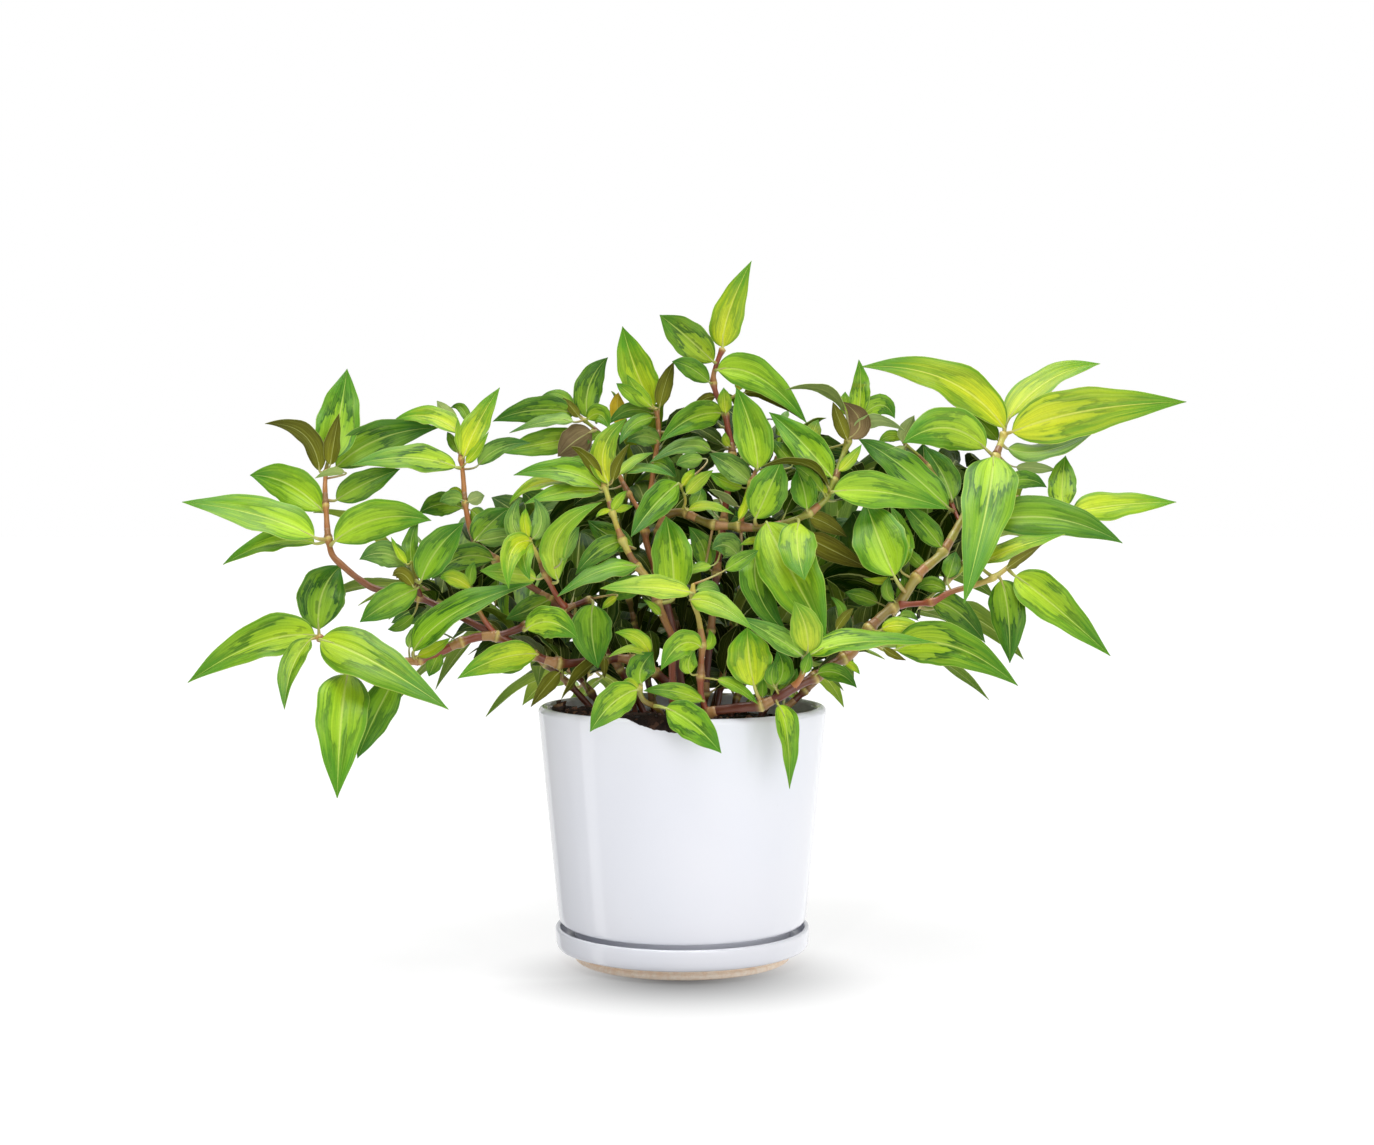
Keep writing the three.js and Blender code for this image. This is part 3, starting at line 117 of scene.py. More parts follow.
# The shoots, as the CAD has them. A route's point is [x, z, y] as seen against the pot's mid-plane.
# A leaf is base x, z, middle x, z, tip x, z, depth of base and tip, seen width, look.
SHOOTS = [
  {"name": "left_runner",
   "stems": [
     [2.4, [[6, 101, -20], [-2, 128, -22], [-25, 145, -25], [-45, 144.5, -28], [-60, 143.5, -31],
      [-76, 149, -34], [-90, 156.5, -36], [-98, 156.5, -37], [-107, 154, -38], [-118, 149, -39],
      [-128, 145, -40], [-145, 145, -37], [-162, 149, -34], [-177, 156, -32]]],
     [2.0, [[-90, 156.5, -36], [-78, 161, -36], [-68, 166, -36], [-56, 170.5, -34], [-44, 175, -32]]],
     [1.6, [[-57, 170.5, -34.5], [-61, 176, -37], [-66, 186, -40], [-71, 197, -42], [-75, 204, -43]]],
     [1.9, [[-90, 156.5, -36], [-104, 164, -34], [-116, 170, -32], [-127, 175, -30], [-139, 178, -29],
      [-150, 180, -28], [-158, 185, -28], [-164, 190, -28], [-170, 196, -28], [-172, 204, -28],
      [-173, 217, -28], [-173.5, 230, -28], [-173, 237, -28]]],
     [1.5, [[-127, 175, -30], [-129, 181, -34], [-131, 188, -37], [-132, 193, -39]]],
     [1.4, [[-90, 156.5, -36], [-96, 164, -37], [-100, 171, -37], [-103, 180, -37]]]],
   "leaves": [
     [-179, 157, -207, 153, -241, 134, -30, -25, 20, "fresh"],
     [-181, 155, -190, 141, -194, 121, -34, -44, 11, "fresh"],
     [-177, 160, -175, 178, -166, 191, -26, -12, 23, "deep"],
     [-176, 155, -150, 144, -114, 121, -40, -62, 24, "fresh"],
     [-163, 138, -166.5, 114, -168.5, 77.5, -32, -45, 26, "fresh"],
     [-139, 138, -150, 117, -158.5, 97, -32, -28, 17, "deep"],
     [-172, 242, -166.5, 263, -162.5, 286.5, -28, -20, 21, "fresh"],
     [-171, 240, -169, 252, -166.5, 265, -31, -35, 8, "olive"],
     [-176, 237, -184, 255, -202.5, 260, -30, -40, 10, "olive"],
     [-175, 218, -192, 231, -210, 235, -25, -14, 19, "fresh"],
     [-179, 205, -208, 216, -243, 222, -33, -42, 18, "fresh"],
     [-179, 202, -200, 202, -223.5, 191.5, -26, -18, 11, "fresh"],
     [-164, 236.5, -171, 236.5, -178.5, 233.5, -34, -37, 4, "silver"],
     [-168, 239, -146, 253, -118, 258, -22, -4, 19, "deep"],
     [-168, 223, -154, 231, -137, 238, -26, -16, 14, "deep"],
     [-169, 203, -147, 214, -122, 213, -33, -40, 20, "fresh"],
     [-127, 184, -119, 199, -106, 212, -42, -48, 17, "deep"],
     [-131, 190, -132, 202, -128, 214, -38, -36, 8, "deep"],
     [-134, 191, -145, 197, -157, 194, -38, -42, 13, "glaucous"],
     [-134, 192, -138, 198, -141.5, 205, -41, -43, 4, "lime"],
     [-129, 180, -143, 173, -157, 163.5, -37, -45, 15, "deep"],
     [-131, 181, -136, 187, -141, 186, -40, -43, 7, "olive"],
     [-131, 167, -137, 162, -143.5, 160, -31, -33, 6, "deep"],
     [-133, 151, -131, 157, -127, 164, -42, -36, 6, "glaucous"],
     [-131, 149.5, -109, 169, -73, 182.5, -46, -52, 14, "deep"],
     [-129, 147, -120, 151, -113, 156, -45, -47, 6, "lime"],
     [-118, 149, -121, 143, -123.5, 137, -40, -38, 8, "deep"],
     [-71, 148, -90, 145.5, -109.5, 136, -38, -52, 15, "lime"],
     [-76, 146, -82, 141, -89, 139, -34, -34, 5, "deep"],
     [-76, 160, -64, 163.5, -51, 155.5, -46, -54, 16, "fresh"],
     [-103, 180, -111, 185, -118, 185, -39, -42, 8, "lime"],
     [-103, 181, -103, 187, -101, 193, -39, -40, 6, "deep"],
     [-77, 204, -82.5, 212, -79, 224, -43, -40, 9, "glaucous"],
     [-73, 204, -68.5, 213, -72, 224, -43, -40, 9, "glaucous"],
     [-75, 204, -76.5, 212, -76, 219, -46, -48, 6, "lime"],
     [-74, 203, -83, 198, -84.5, 180, -46, -62, 12, "lime"],
     [-73, 202, -77, 195, -74, 184, -44, -52, 9, "fresh"],
     [-71, 184.5, -84, 187.5, -98.5, 188.5, -43, -50, 12, "pale"],
     [-71, 200, -68, 204, -65, 209, -40, -38, 5, "deep"],
     [-60.5, 184, -60, 206, -39, 222, -42, -58, 13, "pale"],
     [-59, 193, -55, 203, -50, 210, -46, -50, 8, "glaucous"],
     [-43.5, 172, -44, 158, -41, 141, -38, -48, 20, "deep"],
     [-37, 147, -49, 139, -59, 126, -32, -58, 6, "olive"],
     [-60, 139, -66, 132.5, -74, 122, -32, -36, 8, "olive"],
     [-32, 176, -36, 173, -39, 170, -36, -40, 4, "lime"],
     [-38, 146, -38, 142, -38, 136, -34, -34, 4, "olive"]]},
  {"name": "centre_left",
   "stems": [
     [2.0, [[-4, 101, -33], [-5, 140, -33], [-5, 156, -34], [-8, 163, -35], [-12, 173, -37], [-18, 186, -39],
      [-23, 192, -40], [-27, 199, -41], [-31, 208, -42], [-34, 217, -43], [-36, 224, -43], [-38, 231, -43]]]],
   "leaves": [
     [-40, 229, -58, 237, -82, 235, -43, -36, 13, "fresh"],
     [-40, 227, -58, 226.5, -77, 221, -42, -38, 9, "fresh"],
     [-52, 232, -72, 230, -84, 221, -36, -30, 6, "lime"],
     [-36, 231, -38, 248, -27, 262.5, -46, -42, 13, "lime"],
     [-39, 232, -46, 243, -54, 249, -44, -48, 6, "olive"], [-33, 218, -29, 219, -24, 220, -44, -45, 4, "lime"],
     [-34, 218, -31, 223, -27, 227.5, -45, -47, 5, "fresh"],
     [-35, 218, -39, 217, -42, 214.5, -45, -47, 3, "lime"],
     [-31, 235, -24, 242, -14, 246, -40, -35, 5, "fresh"], [-31, 236, -18, 238.5, -4, 234, -38, -34, 5, "deep"],
     [-34, 232, -31, 241, -26, 250, -47, -46, 5, "olive"],
     [-46, 242, -52, 242, -60, 239.5, -38, -36, 4, "deep"],
     [-29, 203, -41, 198, -52, 186.5, -38, -42, 11, "deep"],
     [-22, 191, -41, 188, -61, 176, -44, -56, 9, "deep"], [-4, 176, -5, 196, -8, 215, -38, -30, 20, "fresh"],
     [-11, 167, -14, 171, -19, 174.5, -39, -41, 4, "fresh"],
     [-24, 200, -36, 206, -46, 213, -30, -22, 12, "deep"],
     [-18, 184, -28, 180, -38, 176, -30, -26, 11, "deep"]]},
  {"name": "right_runner",
   "stems": [
     [2.6, [[-2, 100, -44], [6, 114, -52], [14, 119.5, -58], [25, 121.5, -61], [38, 123, -63],
      [46, 126.5, -63], [54, 131.5, -62], [60, 134.5, -60], [66, 137.5, -58], [74, 143.5, -55], [82, 148, -52],
      [88, 157, -49], [94, 163.5, -46], [100, 169, -43], [104.8, 172, -41], [115, 187, -38], [126, 197, -35],
      [135, 212, -32], [145, 229, -30], [152, 244, -29], [156, 255, -28]]],
     [1.6, [[54, 131.5, -62], [58, 137, -64], [61, 147, -66]]],
     [1.7, [[12, 118.5, -57], [9, 129, -59], [9.2, 143, -60], [9.6, 152, -60], [9, 159, -59], [7.5, 167, -58],
      [5, 174, -58], [5.3, 182, -58]]],
     [1.6, [[104.8, 172, -41], [114, 172.5, -43], [122, 173.5, -45], [130, 178, -46], [140, 181, -47],
      [150, 184.5, -49], [158, 190, -50], [166, 197, -51]]],
     [1.4, [[138, 217, -31], [150, 221, -28], [163, 223.5, -26], [176, 221.5, -24], [187, 219, -22]]],
     [1.2, [[135, 212, -32], [128, 226, -26], [118, 241, -26], [113, 246, -27], [108, 250, -28]]]],
   "leaves": [
     [35, 132.5, 32.5, 147, 31.5, 161, -66, -62, 22, "lime"],
     [44.5, 133, 43.5, 138, 45, 144, -67, -67, 7, "deep"], [46, 133, 49, 141, 46, 150, -58, -52, 11, "deep"],
     [39, 127, 39, 131, 39, 137, -60, -58, 5, "deep"], [47, 128, 52, 134, 56, 141, -58, -54, 8, "deep"],
     [61, 149, 60, 161, 54.5, 173.5, -70, -78, 16, "pale"],
     [58.5, 147, 44, 157, 27, 166, -69, -70, 11, "glaucous"],
     [62, 147, 85, 153.5, 124, 153.5, -70, -66, 11, "fresh"],
     [59, 139, 60.5, 143, 62, 149, -71, -73, 6, "deep"], [66, 138.5, 76, 138.5, 85, 131.5, -64, -70, 9, "deep"],
     [79, 144, 83, 142, 86.5, 138, -54, -54, 4, "lime"], [47, 123, 51, 108, 52.3, 82, -67, -70, 11, "fresh"],
     [17, 135.5, 27, 131.5, 37, 123.5, -65, -68, 6, "fresh"],
     [10, 125, -5, 130, -19, 130, -62, -56, 9, "fresh"],
     [9, 151.5, -1, 152.5, -10.5, 140, -63, -73, 13, "fresh"], [4, 138.5, 3, 144, 6, 150, -63, -64, 9, "fresh"],
     [10.5, 151, 14, 154, 13, 160, -58, -56, 5, "fresh"], [4, 178, -17, 180.5, -40, 180, -62, -72, 11, "pale"],
     [4, 174.5, 18, 171.5, 34, 160, -63, -80, 12, "pale"],
     [7, 179, 13, 181, 18.5, 178, -55, -50, 6, "glaucous"], [21, 189, 29, 194, 37, 198.5, -56, -52, 8, "deep"],
     [97, 160, 109, 161.5, 124, 153.5, -56, -62, 9, "lime"],
     [98, 151, 103, 147.5, 109, 145, -60, -60, 4, "olive"],
     [75, 160, 79, 166, 83.5, 170.5, -50, -48, 5, "olive"], [77, 163, 77.5, 170, 72, 176, -48, -46, 5, "deep"],
     [95, 173, 87, 176, 79, 178, -34, -30, 8, "deep"],
     [104, 150, 131, 152, 163.5, 132.5, -60, -68, 22, "fresh"],
     [106, 166, 110, 167.5, 115, 164, -48, -50, 4, "glaucous"],
     [103, 186, 96, 203, 89, 222, -50, -38, 26, "fresh"], [106, 190, 107, 206, 101, 220, -40, -34, 10, "fresh"],
     [104, 175, 108, 181, 107, 187, -38, -36, 6, "deep"], [103, 174, 99.5, 179, 101, 186, -44, -46, 6, "deep"],
     [101, 184.5, 95, 183.5, 88, 185, -44, -42, 4, "lime"], [118, 190, 112, 195, 108, 201, -34, -32, 6, "deep"],
     [131, 223, 126, 236, 117, 249, -30, -22, 15, "deep"],
     [126, 200, 117, 211, 106.5, 221.5, -37, -42, 11, "deep"],
     [147, 248, 128, 258, 107, 250.5, -33, -42, 21, "fresh"],
     [153, 252, 147, 259, 140, 265, -20, -14, 8, "deep"],
     [156, 258, 127, 281.5, 86.5, 287.5, -29, -25, 19, "lime"],
     [158, 262, 178, 281, 202.5, 289, -25, -17, 13, "lime"],
     [160, 256, 198, 266.5, 244.5, 270.5, -31, -30, 25, "lime"],
     [158, 248, 177, 247, 201, 257, -25, -20, 9, "glaucous"],
     [151, 244, 147.5, 218, 137, 172.5, -36, -62, 27, "fresh"],
     [129, 219.5, 105, 240.5, 85.5, 252.5, -34, -28, 16, "deep"],
     [107, 251, 109, 257, 112.5, 264, -30, -34, 8, "silver"],
     [106, 252, 101, 254, 95, 250.5, -27, -26, 6, "fresh"],
     [108, 249, 104, 247, 98.5, 247, -29, -30, 4, "silver"],
     [158, 230, 167, 233, 177, 229, -26, -22, 9, "deep"], [149, 212, 181, 214, 214, 202, -36, -42, 20, "deep"],
     [146, 192, 163, 200, 186, 206.5, -46, -42, 9, "lime"],
     [185, 219, 184.5, 231, 186, 244.5, -22, -18, 14, "fresh"],
     [190, 217, 212, 220.5, 240, 222, -20, -16, 14, "lime"],
     [162, 239, 172, 238.5, 181.5, 237.5, -22, -18, 6, "silver"],
     [154, 221, 165, 219.5, 177, 217.5, -30, -28, 7, "deep"],
     [162, 186, 181, 171.5, 208.5, 147, -52, -60, 20, "fresh"],
     [155, 184, 158.5, 168, 159.5, 143.5, -51, -54, 18, "deep"],
     [121, 174, 134, 168.5, 147.5, 153.5, -42, -38, 14, "deep"],
     [129, 185, 131, 191, 133, 198, -43, -40, 9, "deep"], [128, 179, 121, 182, 114, 180, -40, -34, 8, "deep"],
     [158, 190, 165, 195, 175, 201.5, -52, -54, 5, "olive"]]},
  {"name": "mid_right",
   "stems": [
     [2.3, [[3, 106, -6], [-3, 150, -8], [-9, 180, -10], [-12, 203, -14], [-8, 215, -18], [0, 217, -22],
      [8, 213.5, -25], [15, 211, -28], [28, 210, -32], [40, 209.5, -37], [54, 213, -41], [62, 217, -43],
      [70, 224, -44], [73, 230, -44], [76, 239, -43], [80, 250, -42], [81.5, 255, -42]]],
     [1.5, [[28, 210, -32], [30, 220, -34], [33, 230, -35], [36, 238, -36]]],
     [0.9, [[0, 217, -22], [1.5, 223, -28], [-1, 230, -34]]]],
   "leaves": [
     [-2, 231, -14, 220, -25, 205, -36, -54, 15, "deep"], [2, 226, 8, 232, 15, 237.5, -34, -40, 7, "pale"],
     [0, 230, 3, 234, 6, 238, -34, -36, 5, "lime"], [11, 190, 10, 200, 3, 210, -22, -24, 11, "deep"],
     [27, 196, 21, 201, 14.5, 199, -30, -36, 13, "glaucous"], [14, 191, 6, 189, -4, 186, -30, -34, 5, "fresh"],
     [3, 218, 13, 219.5, 25, 216, -28, -34, 5, "lime"], [10, 243, 3, 242, -3, 240, -22, -26, 8, "glaucous"],
     [4, 219, 8, 224, 9, 229, -22, -20, 8, "deep"], [33, 231, 24, 239, 13, 245.5, -33, -26, 12, "glaucous"],
     [29, 229, 21, 232, 13, 236, -28, -22, 8, "fresh"], [27, 220, 20, 225, 13, 228, -28, -24, 4, "silver"],
     [35.5, 214, 42, 228, 48, 242, -40, -50, 19, "fresh"],
     [27.5, 213.5, 30.5, 221, 32, 230, -37, -38, 4, "lime"],
     [36.5, 238, 34, 256, 26, 277.5, -38, -36, 19, "fresh"],
     [72.5, 234, 58, 251, 42, 265.5, -46, -34, 16, "fresh"], [53, 241, 49, 246, 44, 252, -38, -34, 8, "deep"],
     [62, 250, 63.5, 256, 66, 262, -26, -20, 8, "lime"], [71, 229.5, 58, 241, 38, 239, -50, -56, 5, "olive"],
     [60.5, 218.5, 59, 228, 55.5, 238, -47, -46, 13, "deep"], [68, 227, 61, 235, 54, 240, -50, -48, 7, "deep"],
     [70, 226, 68.5, 229, 67, 232, -46, -48, 3, "lime"],
     [73.5, 227, 99, 226.5, 129, 218.5, -48, -44, 18, "fresh"],
     [80, 252, 76, 262, 73, 270.5, -46, -52, 7, "olive"], [81, 253, 86, 261, 78, 270.5, -45, -48, 11, "mauve"],
     [83, 254, 93, 261.5, 108, 256.5, -43, -50, 7, "silver"],
     [86, 262, 96, 269, 103, 262.5, -38, -36, 11, "fresh"],
     [85, 262, 86.5, 277, 85.5, 291, -42, -38, 10, "fresh"],
     [79, 266, 68, 276.5, 50, 276.5, -40, -30, 5, "silver"],
     [80, 264, 79, 270, 79, 275.5, -36, -34, 6, "fresh"], [76, 237, 82, 243, 87, 250, -45, -46, 6, "lime"],
     [62, 214.5, 70, 211.5, 80, 205, -38, -30, 9, "olive"],
     [60, 205, 74, 198, 91, 189.5, -32, -28, 12, "olive"],
     [56.5, 212, 56, 200, 59.5, 184, -49, -68, 19, "fresh"],
     [41, 212, 54, 186, 70, 156.5, -42, -62, 29, "fresh"], [37, 200, 37, 178, 52, 157, -38, -50, 16, "deep"],
     [38, 203.5, 33, 203, 28, 201, -38, -42, 4, "lime"]]},
  {"name": "crown_top",
   "stems": [
     [2.0, [[9, 106, 2], [13, 150, 4], [17, 190, 5], [21, 220, 5], [24, 240, 5], [24, 249, 5], [22, 258, 5],
      [20.5, 266, 5], [16.5, 274, 5], [15, 282, 5], [17, 290, 5], [19.5, 296, 5]]]],
   "leaves": [
     [19.5, 297, 23, 315, 33.5, 338.6, 4, 8, 16, "lime"], [15, 290, 2, 302, -11, 312.5, 3, -2, 17, "fresh"],
     [13, 280, 4, 287, -5, 290, 2, -4, 10, "deep"], [17, 286, 38, 282, 60.5, 260, 2, -8, 17, "fresh"],
     [30, 275, 42, 273, 58, 262, 4, 2, 7, "olive"], [27, 276, 28, 281, 28.5, 288, 0, 0, 5, "lime"],
     [21, 265, 20.5, 271, 20, 277.5, 2, 0, 7, "lime"], [16, 273, 11, 272, 5, 268, 6, 6, 5, "olive"],
     [19, 265, 4, 262.5, -11, 251, 3, -14, 14, "fresh"], [14, 247, 1, 249, -16, 241, 0, -10, 8, "glaucous"],
     [23, 249, 21, 252, 21, 256, 3, 2, 4, "lime"]]},
  {"name": "crown_left",
   "stems": [
     [1.9, [[-4, 106, 14], [-6, 160, 12], [-13, 188, 11], [-18, 206, 12], [-15, 230, 13], [-12.5, 248, 13],
      [-11.5, 256, 13], [-12.5, 267, 13]]],
     [1.4, [[-17, 212, 12], [-26, 226, 14], [-33, 240, 15], [-38, 253, 15], [-48, 262, 15]]]],
   "leaves": [
     [-14, 268, -22.5, 286, -29, 307, 12, 16, 18, "lime"], [-17, 268, -26, 275, -32, 279.5, 9, 4, 7, "fresh"],
     [-11, 268, -8, 280, -4, 290, 10, 10, 8, "olive"], [-15, 268, -22, 276, -27, 284, 7, 6, 7, "fresh"],
     [-30, 259, -31.5, 268, -31, 275, 16, 18, 8, "tan"], [-14, 263, -24, 259, -30.5, 250, 10, 0, 8, "deep"],
     [-15, 265, -26, 266.5, -36, 259.5, 14, 12, 8, "deep"],
     [-11, 251, -19, 254, -27, 251, 12, 8, 10, "glaucous"], [-14, 241, -9, 240, -3, 234, 6, 0, 9, "deep"],
     [-44, 256, -52, 251.5, -60.5, 244, 8, 4, 15, "mauve"],
     [-50, 263, -54, 268, -58, 272.5, 14, 14, 5, "olive"], [-46, 263, -45, 279, -36, 292, 15, 22, 14, "deep"],
     [-52, 266, -59, 274, -68, 273.5, 18, 18, 5, "deep"],
     [-46, 262, -40, 264.5, -35.5, 257.5, 13, 10, 10, "fresh"],
     [-52, 265, -72, 266.5, -92, 261, 16, 10, 14, "deep"],
     [-53, 261, -66, 261, -84, 255.5, 11, 8, 6, "glaucous"],
     [-48, 254, -70, 250, -88, 246, 12, 10, 13, "fresh"], [-39, 255, -43, 254, -46, 250, 11, 9, 4, "deep"]]},
  {"name": "tall_left",
   "stems": [
     [1.9, [[-12, 106, 2], [-30, 140, 0], [-48, 160, -4], [-64, 174, -8], [-78, 184, -12], [-91, 194, -15],
      [-101, 204, -17], [-105, 218, -18], [-106.5, 235, -18], [-108, 250, -18]]]],
   "leaves": [
     [-106, 244, -99, 260, -88.5, 277.5, -20, -14, 13, "lime"],
     [-108, 255, -123, 263.5, -140, 261.5, -18, -12, 10, "lime"],
     [-110, 239, -134, 243.5, -161, 239.5, -20, -36, 13, "fresh"],
     [-108, 246, -108.5, 254, -109, 263, -21, -22, 4, "pale"],
     [-99, 240, -88, 248.5, -73.5, 250.5, -20, -28, 9, "glaucous"],
     [-109, 246, -112, 252, -114, 256, -15, -12, 5, "deep"],
     [-110, 260, -115, 266, -119, 271, -14, -8, 7, "silver"],
     [-104, 260, -107, 267.5, -112.5, 267.5, -12, -8, 5, "deep"],
     [-105, 241, -100, 247, -94, 256, -23, -25, 5, "lime"],
     [-107, 219, -117, 221, -128, 216.5, -14, -8, 12, "deep"],
     [-107, 223, -112, 224, -118, 222, -21, -24, 8, "glaucous"],
     [-104, 222, -100, 224, -96, 225, -20, -20, 7, "silver"],
     [-103, 218, -99, 214, -98, 206, -14, -18, 9, "deep"],
     [-101, 203, -94, 211, -84, 219, -20, -16, 15, "deep"],
     [-99, 203, -89, 205, -80, 206, -22, -22, 9, "glaucous"],
     [-107, 225, -110, 228, -114, 227, -14, -14, 3, "lime"],
     [-92, 194, -108, 195, -122, 184, -18, -22, 13, "deep"],
     [-64, 175, -74, 170, -86, 165, -10, -14, 12, "deep"]]},
  {"name": "front_low",
   "stems": [
     [1.5, [[-6, 100, -49], [-9, 116, -58], [-13, 122, -65], [-19, 125.5, -68], [-21, 131, -68],
      [-19, 140, -64], [-16, 147.5, -61]]]],
   "leaves": [
     [-22, 130.5, -34, 124, -45, 110, -72, -84, 16, "fresh"],
     [-21.5, 131.5, -25, 134, -28.5, 135, -70, -72, 5, "lime"],
     [-20, 133.5, -20, 141, -14, 149, -69, -62, 14, "deep"],
     [-8, 121.5, 5, 114, 19, 99.5, -76, -86, 17, "fresh"],
     [-16, 148, -22, 156, -33, 158.5, -61, -64, 8, "lime"],
     [-17, 148, -26, 150, -36, 146.5, -62, -66, 4, "pale"]]},
]

# Shoots on the far side: name, leaf length, and a route of [x, z, y] as above
BACK_SHOOTS = [
  ["back_centre", 54, [[0, 104, 24], [2, 140, 40], [-4, 170, 60], [-6, 195, 80], [-2, 213, 98]]],
  ["back_left", 52, [[-20, 104, 18], [-27, 135, 36], [-42, 160, 60], [-55, 180, 82], [-62, 194, 102]]],
  ["back_right", 54, [[19, 104, 22], [32, 140, 40], [48, 165, 60], [62, 185, 78], [74, 201, 95]]],
  ["left_back", 48, [[-28, 104, 12], [-50, 136, 30], [-76, 158, 50], [-96, 172, 68], [-110, 182, 80]]],
  ["right_back", 50, [[28, 104, 14], [54, 138, 30], [82, 164, 50], [104, 186, 66], [120, 204, 76]]],
  ["left_side", 50, [[-30, 104, 2], [-58, 136, 5], [-88, 158, 10], [-114, 172, 16], [-132, 184, 20]]],
  ["right_side", 50, [[32, 104, 0], [62, 132, 4], [92, 156, 10], [120, 176, 16], [142, 196, 20]]],
  ["trailing_left", 50, [[-14, 104, 34], [-26, 135, 62], [-38, 141, 92], [-46, 138, 116], [-50, 130, 136]]],
  ["trailing_right", 50, [[10, 104, 36], [20, 136, 62], [34, 146, 92], [50, 147, 116], [62, 142, 132]]],
  ["tall_right", 46, [[14, 104, 14], [22, 150, 22], [32, 190, 30], [40, 222, 38], [46, 244, 44]]],
  ["tall_middle", 46, [[-10, 104, 24], [-20, 150, 32], [-28, 190, 44], [-28, 222, 56], [-26, 240, 64]]],
]

# Far shoots bear leaves by rule: the share of the stem below them, the turn from leaf to leaf and from shoot
# to shoot, the angle to the stem at its foot and its tip, the stalk, rise and droop in shares of the length,
# and how far a leaf may turn to the front
BACK_STEM_RADIUS = 1.8
BACK_LEAVES = 9
BARE_SHARE = 0.4
GOLDEN_ANGLE = 2.4
SHOOT_ANGLE = 1.3
SPREAD_AT_FOOT, SPREAD_AT_TIP = 1.15, 0.35
BACK_STALK, BACK_RISE, BACK_DROOP = 6, 0.07, 0.14
MOST_FORWARD = 0.1

# Stem colours from a route's start to its end, by shoot: brown, tan, pink, green or yellow
STEM_TONES = {
    "left_runner": [("brown", "pink"), ("brown", "brown"), ("pink", "yellow"), ("brown", "tan"),
                    ("brown", "green"), ("pink", "green")],
    "centre_left": [("pink", "yellow")],
    "right_runner": [("brown", "yellow"), ("tan", "green"), ("pink", "yellow"), ("pink", "yellow"),
                     ("pink", "green"), ("pink", "green")],
    "mid_right": [("brown", "green"), ("tan", "green"), ("yellow", "green")],
    "crown_top": [("brown", "pink")],
    "crown_left": [("brown", "tan"), ("tan", "green")],
    "tall_left": [("brown", "tan")],
    "front_low": [("brown", "green")],
}
TONES = {"brown": "#64301c", "tan": "#b57b43", "pink": "#964a2b", "green": "#98a238", "yellow": "#c8c45a"}
NODE_TONE = "#d8c76c"
SHEATH_TONE = "#a97f4c"
STALK_TONES = ["#a9774f", "#b58a55", "#a8a04a"]
STALK_END_TONE = "#c9c878"

# Stems: distance between points, sides of a tube, how far apart nodes are, half a node's length,
# and how far up the lowest sheath sits
STEM_STEP = 1.4
STEM_SIDES = 12
NODES_APART = 12
NODE_LENGTH = 1.9
LOWEST_SHEATH = 18
ROUTE_SAMPLES = 400


def linear(text):
    """A hex colour as linear red, green and blue"""
    values = [int(text[i:i + 2], 16) / 255 for i in (1, 3, 5)]
    return np.array([v / 12.92 if v <= 0.04045 else ((v + 0.055) / 1.055) ** 2.4 for v in values])


def smoothstep(x, low, high):
    """A smooth rise from 0 at low to 1 at high"""
    t = np.clip((x - low) / (high - low), 0.0, 1.0)
    return t * t * (3 - 2 * t)


def unit(v):
    """Vectors brought to length 1"""
    return v / np.maximum(np.linalg.norm(v, axis=-1, keepdims=True), 1e-9)


def seen(x, z, y):
    """The place at depth y that is seen at x, z of the pot's mid-plane"""
    reach = (y - EYE[1]) / -EYE[1]
    return np.array([EYE[0] + (x - EYE[0]) * reach, y, EYE[2] + (z - EYE[2]) * reach])


def leaning(x, z, y):
    """The same with the lean of the shoots"""
    outward = abs(x) / HALF_SPAN
    back = LEAN_BACK * smoothstep(z, *LEAN_BACK_HEIGHTS) * (0.6 + 0.6 * outward)
    forward = LEAN_FORWARD * (1 - smoothstep(z, *LEAN_FORWARD_HEIGHTS)) * min(1, outward ** 2 * 1.6)
    return seen(x, z, y + back - forward)


def run_lengths(points):
    """How far along a line of points each one lies"""
    return np.concatenate([[0], np.cumsum(np.linalg.norm(np.diff(points, axis=0), axis=1))])


def around(sides):
    """Angles evenly spaced over a full turn"""
    return np.linspace(0, 2 * math.pi, sides, endpoint=False)


def cross_directions(tangent, nudge=0.0):
    """A level direction across a stem, and the one across both"""
    across = unit(np.cross([0, 0, 1], tangent) + nudge)
    return across, np.cross(tangent, across)


